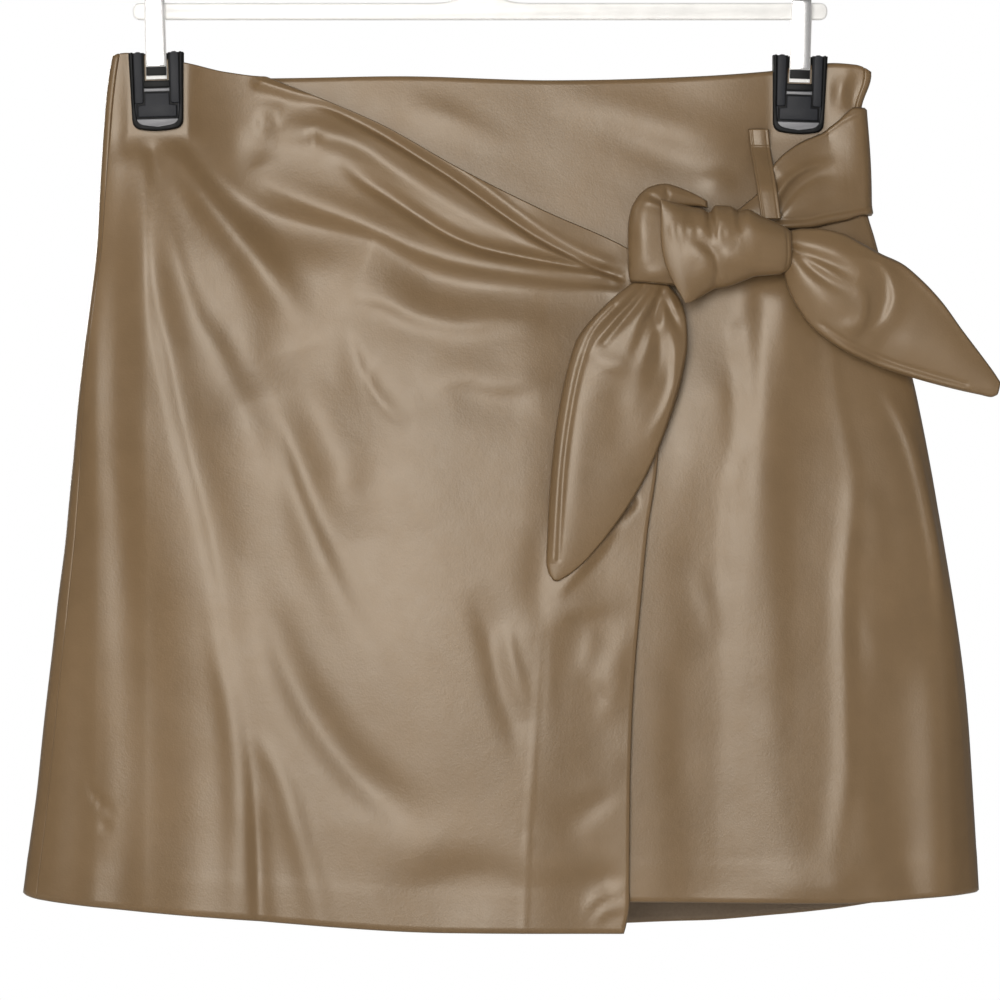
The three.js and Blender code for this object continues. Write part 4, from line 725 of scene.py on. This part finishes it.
turn_piece = roll_mesh("knot_upright_turn", UPRIGHT_TURN, 120, 84, 3.2, TURN_FOLDS, knot_film)
knot_piece = roll_mesh("knot_gathered_body", KNOT_SECTIONS, 170, 130, 2.5, KNOT_FOLDS, knot_film, 5.6)
for piece, node, flat in ((turn_piece, "knot_loop", (0.05, 0.038)), (knot_piece, "knot_body", (0.066, 0.05))):
    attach(piece, "root")
    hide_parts(node)

# ---- Tie ends --------------------------------------------------------------------------------------
# The two free ends of the tie: each is a pointed bag of doubled cloth, sewn and turned, with its seam
# rolled along one edge. Their gathers spring from the knot and run out into smooth, softly domed leaves.

TIE_THICK = 2.6
HANGING_END = [  # left edge, right edge, y, dome
    (75.2, -197.2, 94.6, -198.8, -27.2, 2.8), (66, -204.6, 99.8, -206, -28.8, 3.8), (55.6, -215, 102.6, -216.4, -30.4, 4.4),
    (48, -225.4, 103, -227, -31.2, 4.8), (44, -237.5, 101, -240.4, -31.8, 4.8), (41, -250, 98, -252.4, -32.4, 4.6),
    (38.4, -265, 93.6, -266, -33.1, 4.2), (36.4, -280, 88, -280.4, -33.8, 3.8), (35, -295, 81, -295.4, -34.5, 3.3),
    (34, -310, 71.6, -311, -35.2, 2.7), (33.4, -325, 60.6, -325.8, -35.8, 2), (33, -335, 52, -335.6, -36.2, 1.5),
    (34, -341, 44.6, -341.8, -36.4, 1), (36.4, -344.8, 39.4, -345, -36.5, 0.6),
]
HANGING_FOLDS = [
    (2, 2, (0.8, 1.3, 1.0, 0.2), 0.2, [(82, -198), (74.5, -207), (66, -216), (59.5, -223.5), (53.5, -231)]),
    (1.6, 1.5, (-0.6, -1.1, -0.7, -0.1), 0, [(79.5, -198), (71, -207), (62, -216.5), (54, -226)]),
    (1.7, 1.6, (-0.6, -1.0, -0.4), 0, [(84.5, -199), (77.5, -208), (70, -217), (62, -227)]),
    (2.2, 3, (0.7, 1.2, 0.6, 0.1), 0.2, [(88.6, -199), (84, -207), (79, -216), (75.5, -226), (71, -234)]),
    (1.8, 2.8, (-0.7, -1.2, -0.7, -0.1), 0, [(90.6, -199.5), (88, -208), (83, -218), (79, -229), (76, -236)]),
    (2.4, 3.6, (0.3, 0.9, 0.7, 0.2), 0, [(91, -203), (91, -214), (84, -226), (80, -240), (76, -256)]),
    (1.6, 3, (-0.6, -1.1, -0.8, -0.1), 0, [(88.6, -206), (87.8, -218), (88.4, -232), (86, -246)]),
    (1.9, 1.9, (0.5, 0.9, 0.3), 0, [(93.4, -199), (96.4, -208), (99.4, -214)]),
    (1.5, 1.6, (-0.6, -0.9, -0.2), 0, [(91.4, -203), (95.4, -213), (100.4, -223)]),
    (2.6, 3.4, (0.3, 1.1, 1.1, 0.3), -0.3, [(94.6, -219), (97.4, -232), (97, -245), (93, -259), (86, -272)]),
    (3, 4, (0.2, 0.7, 0.2), 0, [(55, -232), (62, -236.4), (71, -238), (78, -235)]),
    (7, 8, (-0.1, -1.1, -0.9, -0.1), 0, [(64, -240), (70, -256), (69, -272), (62, -288)]),
    (5, 7, (0.2, 0.7, 1.0, 0.5), 0, [(51, -240), (47, -262), (45, -290), (42, -322)]),
    (1.4, 1.3, (0.5, 0.6, 0.6, 0.4), 0, [(64, -208), (53.4, -220), (46.6, -238), (42, -262), (39, -285), (37.4, -310), (36.4, -334)]),
    (1, 1, (-0.4, -0.55, -0.55, -0.3), 0, [(67.4, -209), (57, -221), (49.8, -240), (45, -264), (42, -287), (40.2, -312), (39, -334)]),
]
SIDE_END = [  # upper edge, lower edge, y, dome
    (155.2, -171, 150.4, -189, -25, 2.4), (160.4, -170, 152.4, -197, -25.8, 3.4), (168, -170, 156, -205.6, -26.4, 4.2),
    (180, -172.4, 165, -218.6, -26.6, 4.8), (190.6, -177.6, 180, -229.8, -25.8, 4.7), (200, -182.6, 190, -234.8, -24, 4.3),
    (210, -187.2, 200, -239, -22.4, 3.7), (220.4, -195.8, 211, -242.6, -22.1, 3.2), (230.4, -206.6, 224, -246.4, -21.9, 2.6),
    (240.4, -220.4, 238, -250, -21.6, 2.0), (250.4, -233.6, 249, -252.4, -21.2, 1.4), (256.4, -241.8, 254.6, -253.6, -21, 1),
    (259.4, -246.4, 257.8, -252.6, -20.9, 0.7),
]
SIDE_FOLDS = [
    (1.8, 3.4, (-1.2, -1.6, -1.2, -0.2), 0, [(156, -180.4), (166, -184.4), (177, -189), (188, -195.5)]),
    (1.7, 2.8, (-1.0, -1.3, -0.8, -0.1), 0, [(156, -181), (165, -190), (176, -197.5), (188, -202.5)]),
    (3, 5.4, (0.4, 0.9, 1.0, 0.3), 0, [(156, -176), (170, -179), (184, -184.6), (198, -193)]),
    (1.5, 2.6, (0.4, 0.7, 0.5, 0.1), 0, [(157, -182.4), (167, -187.6), (177, -193), (187, -198.6)]),
    (3.2, 5.4, (0.4, 0.8, 0.7, 0.2), 0, [(155, -187), (163, -198), (172, -207), (182, -214)]),
    (2.8, 2.8, (0.2, 0.9, 1.1, 0.9, 0.2), -0.35, [(189, -183.4), (199, -186.6), (205, -195), (206.4, -204), (203, -214), (195, -222)]),
    (2.2, 2.2, (0.1, 0.7, 0.7, 0.1), 0.3, [(190.6, -198), (192, -207), (191, -215), (185.6, -223.4)]),
    (3.4, 3.4, (-0.1, -0.8, -0.8, -0.1), 0, [(196, -192), (199.4, -201), (198, -212), (190.6, -222)]),
    (3, 2.8, (0.2, 0.6, 0.2), 0, [(176, -220), (186, -219), (196, -214)]),
    (5, 7, (0.1, 0.5, 0.4, 0.1), 0, [(204, -222), (216, -228), (230, -232), (244, -242)]),
    (1.4, 1.2, (0.3, 0.6, 0.6, 0.4), 0, [(168, -219.8), (180, -228.4), (200, -237.6), (222, -244.6), (242, -249.8)]),
    (0.9, 0.9, (-0.3, -0.5, -0.5, -0.3), 0, [(170, -217.4), (181.6, -225.6), (201, -234.6), (222.6, -241.6), (242, -247.2)]),
    (1.2, 1.2, (0.2, 0.3, 0.3, 0.2), 0, [(186, -177), (208, -187.6), (228, -205.6), (248, -232)]),
]
DOME_PEAK = {"hanging": 0.72, "pointing": 1.0}  # below 1 the dome is highest towards its first edge


def tie_end(name, sections, folds, rows, cols, peak):
    """A doubled leaf between its two edges, domed across, thin and round at its rim."""
    share = np.linspace(0, 1, len(sections))
    down = np.linspace(0, 1, rows + 1)[:, None]
    lx, lz, rx, rz, y, dome = (curve(zip(share, column))(down) for column in zip(*sections))
    across = (1 - np.cos(np.linspace(0, math.pi, cols + 1))[None, :]) / 2
    across = blend(across, np.linspace(0, 1, cols + 1)[None, :], 0.55)
    x, z = blend(lx, rx, across), blend(lz, rz, across)
    rise = dome * np.sin(math.pi * across**peak) ** 0.7
    rim = np.clip(np.minimum(across, 1 - across) * np.hypot(rx - lx, rz - lz) / 1.4, 0, 1)
    tip = np.clip((1 - down) * 60, 0, 1)
    half = TIE_THICK / 2 * np.sqrt(np.clip(1 - (1 - rim) ** 2, 0.03, 1)) * np.sqrt(np.clip(1 - (1 - tip) ** 2, 0.05, 1))
    middle = y - rise + TIE_THICK / 2
    relief = folds_at(folds, x, z) * ease(rim * 1.2)
    back_relief = 0.7 * folds_at(folds, x, z) * ease(rim * 1.2)
    outer = np.stack([x, middle - half - relief, z], axis=-1)
    inner = np.stack([x, middle + half - np.minimum(back_relief, relief + 1.2), z], axis=-1)
    return sheet_mesh(name, outer, inner, [knot_film], edge=0.5)


hanging = tie_end("tie_end_hanging", HANGING_END, HANGING_FOLDS, 230, 110, DOME_PEAK["hanging"])
pointing = tie_end("tie_end_pointing_right", SIDE_END, SIDE_FOLDS, 200, 110, DOME_PEAK["pointing"])
for piece, node, flat in ((hanging, "tail_down", (0.072, 0.15)), (pointing, "tail_side", (0.068, 0.122))):
    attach(piece, "root")
    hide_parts(node)

# ---- Hanger ----------------------------------------------------------------------------------------
# One white moulding: a flat bar with a raised neck, a plain round hook, and a tongue that reaches down
# into each clip.

HANGER_BAR = {"half": 174, "top": -56, "bottom": -64.5, "thick": 4.4}
TONGUE = {"wide": 10.4, "bottom": -94.4, "thick": 1.2, "root": 7}
NECK = {"half": 24, "rise": 14, "waist": 4}
HOOK = {"rod": 2.7, "inner": 17, "foot": -54, "tip": 0.5}
JAW_FACE = {"front": -3.15, "back": 2.65}  # where the jaws' inner faces are, just off the held cloth


def plastic(name, colour, rough, speckle, shine=0.5):
    """Moulded plastic: a smooth gloss skin with faint flow marks and handling dullness."""
    finish = bpy.data.materials.new(name)
    finish.use_nodes = True
    nodes, links = finish.node_tree.nodes, finish.node_tree.links
    skin = nodes["Principled BSDF"]
    place = nodes.new("ShaderNodeTexCoord")
    handled, orange_peel = nodes.new("ShaderNodeTexNoise"), nodes.new("ShaderNodeTexNoise")
    handled.inputs["Scale"].default_value = 90
    handled.inputs["Detail"].default_value = 4
    orange_peel.inputs["Scale"].default_value = 900
    for texture in (handled, orange_peel):
        links.new(place.outputs["Object"], texture.inputs["Vector"])
    shades = nodes.new("ShaderNodeValToRGB")
    shades.color_ramp.elements[0].color = (*(c * 0.85 for c in colour), 1)
    shades.color_ramp.elements[1].color = (*(min(1, c * 1.1) for c in colour), 1)
    links.new(handled.outputs["Fac"], shades.inputs["Fac"])
    links.new(shades.outputs["Color"], skin.inputs["Base Color"])
    dull = nodes.new("ShaderNodeMapRange")
    dull.inputs["To Min"].default_value, dull.inputs["To Max"].default_value = rough - 0.06, rough + 0.1
    links.new(handled.outputs["Fac"], dull.inputs["Value"])
    links.new(dull.outputs["Result"], skin.inputs["Roughness"])
    relief = nodes.new("ShaderNodeBump")
    relief.inputs["Distance"].default_value = speckle
    links.new(orange_peel.outputs["Fac"], relief.inputs["Height"])
    links.new(relief.outputs["Normal"], skin.inputs["Normal"])
    skin.inputs["Specular IOR Level"].default_value = shine
    return finish


def moulded(outline, near, far, round_over=0.5, steps=3):
    """A flat moulding from an outline in x and z, between two depths, its edges rounded over."""
    shaped = bmesh.new()
    loop = [shaped.verts.new((x, near, z)) for x, z in outline]
    face = shaped.faces.new(loop)
    grown = bmesh.ops.extrude_face_region(shaped, geom=[face])
    pushed = [item for item in grown["geom"] if isinstance(item, bmesh.types.BMVert)]
    bmesh.ops.translate(shaped, verts=pushed, vec=(0, far - near, 0))
    bmesh.ops.recalc_face_normals(shaped, faces=shaped.faces)
    edges = [e for e in shaped.edges if abs(e.verts[0].co.y - e.verts[1].co.y) < 1e-6]
    if round_over:
        bmesh.ops.bevel(
            shaped, geom=edges, offset=round_over, offset_type="OFFSET", segments=steps, profile=0.5,
            affect="EDGES", clamp_overlap=True,
        )
    return shaped


def joined(name, parts, finish, placed=None):
    """Joins mouldings into one piece, in metres."""
    whole = bmesh.new()
    for part in parts:
        bit = bpy.data.meshes.new("bit")
        part.to_mesh(bit)
        part.free()
        whole.from_mesh(bit)
        bpy.data.meshes.remove(bit)
    if placed:
        bmesh.ops.transform(whole, matrix=placed, verts=whole.verts)
    bmesh.ops.scale(whole, vec=(0.001, 0.001, 0.001), verts=whole.verts)
    mesh = bpy.data.meshes.new(name)
    whole.to_mesh(mesh)
    whole.free()
    mesh.materials.append(finish)
    for face in mesh.polygons:
        face.use_smooth = True
    mesh.set_sharp_from_angle(angle=math.radians(40))
    piece = bpy.data.objects.new(name, mesh)
    bpy.context.collection.objects.link(piece)
    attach(piece, "root")
    return piece


def bow(start, bend, end, steps=8):
    """Points of a curved stretch of an outline."""
    t = np.linspace(0, 1, steps + 1)[:, None]
    start, bend, end = (np.array(point, float) for point in (start, bend, end))
    return [tuple(p) for p in (1 - t) ** 2 * start + 2 * t * (1 - t) * bend + t**2 * end]


def clip_frame(across, drop, lean):
    """Where a clip sits: it leans about the middle of its pads."""
    pads = (CLIP_FOOT + TONGUE["bottom"]) / 2
    return Matrix.Translation((across, 0, pads - drop)) @ Matrix.Rotation(-lean, 4, "Y") @ Matrix.Translation((0, 0, -pads))


bar, neck, waist_x = HANGER_BAR, NECK, NECK["waist"]
ends = 4.2
outline = bow((-bar["half"] + ends, bar["bottom"]), (-bar["half"], bar["bottom"]), (-bar["half"], bar["bottom"] + ends), 6)
outline += bow((-bar["half"], bar["top"] - ends), (-bar["half"], bar["top"]), (-bar["half"] + ends, bar["top"]), 6)
outline += bow((-neck["half"], bar["top"]), (-waist_x, bar["top"]), (-waist_x, bar["top"] + neck["rise"]))
outline += bow((waist_x, bar["top"] + neck["rise"]), (waist_x, bar["top"]), (neck["half"], bar["top"]))
outline += bow((bar["half"] - ends, bar["top"]), (bar["half"], bar["top"]), (bar["half"], bar["top"] - ends), 6)
outline += bow((bar["half"], bar["bottom"] + ends), (bar["half"], bar["bottom"]), (bar["half"] - ends, bar["bottom"]), 6)
parts = [moulded(outline, -bar["thick"] / 2, bar["thick"] / 2, 1.2, 4)]
for _, across, drop, lean in CLIP_PLACES:
    half, near, root = TONGUE["wide"] / 2, JAW_FACE["front"], bar["bottom"] + TONGUE["root"]
    seat = clip_frame(across, drop, lean)
    tongue = moulded(
        [(-half, TONGUE["bottom"]), (half, TONGUE["bottom"]), (half, root), (-half, root)], near - TONGUE["thick"], near, 0.3, 2,
    )
    block = moulded([(-half, bar["bottom"]), (half, bar["bottom"]), (half, root), (-half, root)], near - 0.1, 1.7, 0)
    for part in (tongue, block):
        bmesh.ops.transform(part, matrix=seat, verts=part.verts)
        parts.append(part)

hook_line = []
radius = HOOK["inner"] + HOOK["rod"]
for t in np.linspace(0, 1, 90):
    if t < 0.24:
        rise = ease((ease(t / 0.24) - 0.35) / 0.65)
        hook_line.append((blend(0, radius, rise), 0, blend(HOOK["foot"], -HOOK["inner"], t / 0.24)))
    else:
        angle = (math.pi + HOOK["tip"]) * (t - 0.24) / 0.76
        hook_line.append((radius * math.cos(angle), 0, -HOOK["inner"] + radius * math.sin(angle)))
line = np.array(hook_line)
ahead = np.gradient(line, axis=0)
ahead /= np.linalg.norm(ahead, axis=1, keepdims=True)
beside = np.cross(ahead, (0, 1, 0))
rod = bmesh.new()
rings = []
for i, (spot, side) in enumerate(zip(line, beside)):
    from_tip = (len(line) - 1 - i) / 5
    size = HOOK["rod"] * math.sqrt(max(0.02, 1 - max(0, 1 - from_tip) ** 2))
    ring = []
    for angle in np.linspace(0, 2 * math.pi, 20, endpoint=False):
        ring.append(rod.verts.new(spot + size * (side * math.cos(angle) + np.array((0, 1, 0)) * math.sin(angle))))
    rings.append(ring)
for a, b in zip(rings, rings[1:]):
    for k in range(20):
        rod.faces.new((a[k], a[(k + 1) % 20], b[(k + 1) % 20], b[k]))
rod.faces.new(rings[0][::-1])
rod.faces.new(rings[-1])
bmesh.ops.recalc_face_normals(rod, faces=rod.faces)
parts.append(rod)
white = plastic("white_hanger_plastic", (0.88, 0.88, 0.87), 0.3, 0.00002)
hanger = joined("white_hanger", parts, white)
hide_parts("hanger")

# ---- Clips -----------------------------------------------------------------------------------------
# Each clip has two black plastic jaws. The front one has a raised rim round two rails, a T-shaped latch
# and a grey thumb lip, and a slot that shows the hanger's tongue. A bent steel strip squeezes the jaws.

JAW_TOP, JAW_PLATE, JAW_RAISED, BACK_RAISED = -81, 1.6, 1.9, 1.0
half = CLIP_WIDE / 2


def jaw_outline(inset, top):
    wide, foot = half - inset, CLIP_FOOT + inset
    edge = [(-wide, top), (-wide + 1, foot + 6)]
    edge += bow((-wide + 1, foot + 6), (-wide + 1.2, foot + 1.2), (-wide + 6, foot + 0.8), 7)[1:]
    edge += bow((-wide + 6, foot + 0.8), (0, foot - 0.6), (wide - 6, foot + 0.8), 8)[1:]
    edge += bow((wide - 6, foot + 0.8), (wide - 1.2, foot + 1.2), (wide - 1, foot + 6), 7)[1:]
    return edge + [(wide, top)]


black = plastic("black_clip_plastic", (0.0025, 0.0028, 0.0032), 0.44, 0.00003, 0.14)
satin = plastic("dark_grey_latch_plastic", (0.013, 0.0145, 0.019), 0.46, 0.00005, 0.2)
pale = plastic("grey_lip_plastic", (0.17, 0.172, 0.185), 0.38, 0.00004, 0.5)
steel = bpy.data.materials.new("spring_steel")
steel.use_nodes = True
metal = steel.node_tree.nodes["Principled BSDF"]
brushed = steel.node_tree.nodes.new("ShaderNodeTexNoise")
brushed.inputs["Scale"].default_value = 700
sheen_range = steel.node_tree.nodes.new("ShaderNodeMapRange")
sheen_range.inputs["To Min"].default_value, sheen_range.inputs["To Max"].default_value = 0.16, 0.34
steel.node_tree.links.new(brushed.outputs["Fac"], sheen_range.inputs["Value"])
steel.node_tree.links.new(sheen_range.outputs["Result"], metal.inputs["Roughness"])
metal.inputs["Base Color"].default_value = (0.78, 0.78, 0.79, 1)
metal.inputs["Metallic"].default_value = 1

for side, across, drop, lean in CLIP_PLACES:
    seat = clip_frame(across, drop, lean)
    face = JAW_FACE["front"]
    step = face - JAW_PLATE
    top = step - JAW_RAISED
    foot_line = [(x, z) for x, z in jaw_outline(0.3, JAW_TOP - 0.6) if z < -100]
    inner_line = [(x, z) for x, z in jaw_outline(2.2, JAW_TOP - 0.6) if z < -100]
    rim = [(-13.3, JAW_TOP - 0.8)] + foot_line + [(13.3, JAW_TOP - 0.8), (12.8, JAW_TOP + 0.2), (11.7, JAW_TOP + 0.2)]
    rim += [(11.4, -105)] + inner_line[::-1] + [(-11.4, -105), (-11.7, JAW_TOP + 0.2), (-12.8, JAW_TOP + 0.2)]
    rail = [(-11.3, JAW_TOP - 0.4), (-11.1, -106.4), (-7.6, -106.4), (-6.9, -105.6), (-6.9, JAW_TOP - 1.2)]
    rail += [(-8.0, JAW_TOP + 0.3), (-9.6, JAW_TOP + 0.4)]
    cheek = [(-11.1, -106.4), (-11.0, -114.2), (-10.3, -114.2), (-10.3, -107), (-10.6, -106.4)]
    lip = [(-10.9, -114.3)] + bow((-10.7, -115.6), (-9, -118.1), (0, -118.4), 8) + bow((0, -118.4), (9, -118.1), (10.7, -115.6), 8)
    lip += [(10.9, -114.3)]
    latch = [(-6.1, -101.3), (6.1, -101.3), (6.1, -107.2), (9.2, -107.5), (9.6, -108), (9.6, -112.9), (9.2, -113.3)]
    latch += [(-9.2, -113.3), (-9.6, -112.9), (-9.6, -108), (-9.2, -107.5), (-6.1, -107.2)]
    plate_low = [(x, z) for x, z in jaw_outline(0, JAW_TOP)]
    slot = [(-6, JAW_TOP), (-6, -95), (6, -95), (6, JAW_TOP)]
    jaw = joined(f"clip_{side}_front", [
        moulded(plate_low + slot[::-1], step, face, 0.4),
        moulded(rim, top, step + 0.3, 0.45),
        moulded([(-6.5, -95.3), (6.5, -95.3), (6.5, -98.4), (-6.5, -98.4)], top + 0.9, step + 0.3, 0.35),
        moulded([(-5, -88.2), (5, -88.2), (5, -92.6), (-5, -92.6)], top + 0.6, step - 0.1, 0.25),
    ], black, seat)
    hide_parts(f"clip_{side}_front_jaw")
    boss = joined(f"clip_{side}_latch", [
        moulded(latch, top + 0.3, step + 0.3, 0.4),
        moulded(rail, top + 0.4, step + 0.3, 0.35), moulded([(-x, z) for x, z in rail], top + 0.4, step + 0.3, 0.35),
        moulded(cheek, top + 0.4, step + 0.3, 0.2), moulded([(-x, z) for x, z in cheek], top + 0.4, step + 0.3, 0.2),
    ], satin, seat)
    lips = joined(f"clip_{side}_thumb_lip", [
        moulded(lip, top + 0.1, step + 0.3, 0.5),
        moulded([(-6.4, -99), (6.4, -99), (6.4, -100.6), (-6.4, -100.6)], top + 0.5, step + 0.3, 0.4),
    ], pale, seat)
    behind = JAW_FACE["back"]
    rear = joined(f"clip_{side}_rear", [
        moulded(jaw_outline(0, JAW_TOP), behind, behind + JAW_PLATE, 0.4),
        moulded(jaw_outline(2.4, JAW_TOP - 1), behind + JAW_PLATE - 0.3, behind + JAW_PLATE + BACK_RAISED, 0.5),
    ], black, seat)
    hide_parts(f"clip_{side}_back_jaw")

    a, b, foot, crest, bend, thick = top - 0.3, behind + JAW_PLATE + BACK_RAISED + 0.3, -87.5, -52, 3, 0.8
    section = [(a, foot)] + bow((a, crest - bend), (a, crest), (a + bend, crest), 6)
    section += bow((b - bend, crest), (b, crest), (b, crest - bend), 6) + [(b, foot), (b + thick, foot)]
    section += bow((b + thick, crest - bend), (b + thick, crest + thick), (b - bend, crest + thick), 6)
    section += bow((a + bend, crest + thick), (a - thick, crest + thick), (a - thick, crest - bend), 6) + [(a - thick, foot)]
    strip = moulded(section, -4.6, 4.6, 0.18, 2)
    for vert in strip.verts:
        vert.co = (vert.co.y, vert.co.x, vert.co.z)
    bmesh.ops.reverse_faces(strip, faces=strip.faces)
    spring = joined(f"clip_{side}_steel_strip", [strip], steel, seat)
    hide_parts(f"clip_{side}_spring")

# ---- Floor, lights and camera ----------------------------------------------------------------------
# A plain pale floor well below the skirt, one large soft light from the upper left in front, a weaker
# one from the right, and a white surround. The camera looks straight at the front.

floor_mesh = bpy.data.meshes.new("floor")
shaped = bmesh.new()
bmesh.ops.create_grid(shaped, x_segments=1, y_segments=1, size=4)
shaped.to_mesh(floor_mesh)
shaped.free()
floor = bpy.data.objects.new("floor", floor_mesh)
floor.location = (0, 0, -0.9)
bpy.context.collection.objects.link(floor)
floor_finish = bpy.data.materials.new("pale_floor")
floor_finish.use_nodes = True
floor_finish.node_tree.nodes["Principled BSDF"].inputs["Base Color"].default_value = (0.8, 0.79, 0.77, 1)
floor_finish.node_tree.nodes["Principled BSDF"].inputs["Roughness"].default_value = 0.8
floor_mesh.materials.append(floor_finish)

LIGHTS = [  # name, place, size across and up, strength, aim
    ("key", (-0.42, -3.1, 0.22), (1.3, 1.5), 70, (0, 0, -0.3)),
    ("high_left", (-2.4, -1.6, 1.3), (1.2, 1.2), 9, (0, 0, -0.3)),
    ("fill", (2.4, -2.2, 0.0), (1.6, 1.6), 4, (0, 0, -0.3)),
    ("behind", (-0.8, 3.1, 0.5), (1.3, 1.3), 66, (0, 0, -0.3)),
]
for name, spot, size, strength, aim in LIGHTS:
    lamp = bpy.data.lights.new(name, "AREA")
    lamp.shape = "RECTANGLE"
    lamp.size, lamp.size_y = size
    lamp.energy = strength
    lamp.color = (1.0, 0.97, 0.93)
    light = bpy.data.objects.new(name, lamp)
    light.location = spot
    light.visible_camera = False
    light.rotation_euler = (Vector(aim) - Vector(spot)).to_track_quat("-Z", "Y").to_euler()
    bpy.context.collection.objects.link(light)

world = bpy.data.worlds.new("surround")
bpy.context.scene.world = world
world.use_nodes = True
nodes, links = world.node_tree.nodes, world.node_tree.links
nodes.clear()
seen_white, soft_light = nodes.new("ShaderNodeBackground"), nodes.new("ShaderNodeBackground")
seen_white.inputs["Color"].default_value = (1, 1, 1, 1)
seen_white.inputs["Strength"].default_value = 1.0
soft_light.inputs["Color"].default_value = (1, 0.99, 0.97, 1)
soft_light.inputs["Strength"].default_value = 0.22
path, choose = nodes.new("ShaderNodeLightPath"), nodes.new("ShaderNodeMixShader")
links.new(path.outputs["Is Camera Ray"], choose.inputs["Fac"])
links.new(soft_light.outputs["Background"], choose.inputs[1])
links.new(seen_white.outputs["Background"], choose.inputs[2])
links.new(choose.outputs["Shader"], nodes.new("ShaderNodeOutputWorld").inputs["Surface"])

bpy.context.scene.view_settings.view_transform = "Standard"
lens = bpy.data.cameras.new("camera")
lens.lens, lens.sensor_width = 252, 36
lens.clip_end = 50
camera = bpy.data.objects.new("camera", lens)
camera.location = (0.010, -3.508, -0.305)
camera.rotation_euler = (math.radians(90), 0, 0)
bpy.context.collection.objects.link(camera)
bpy.context.scene.camera = camera
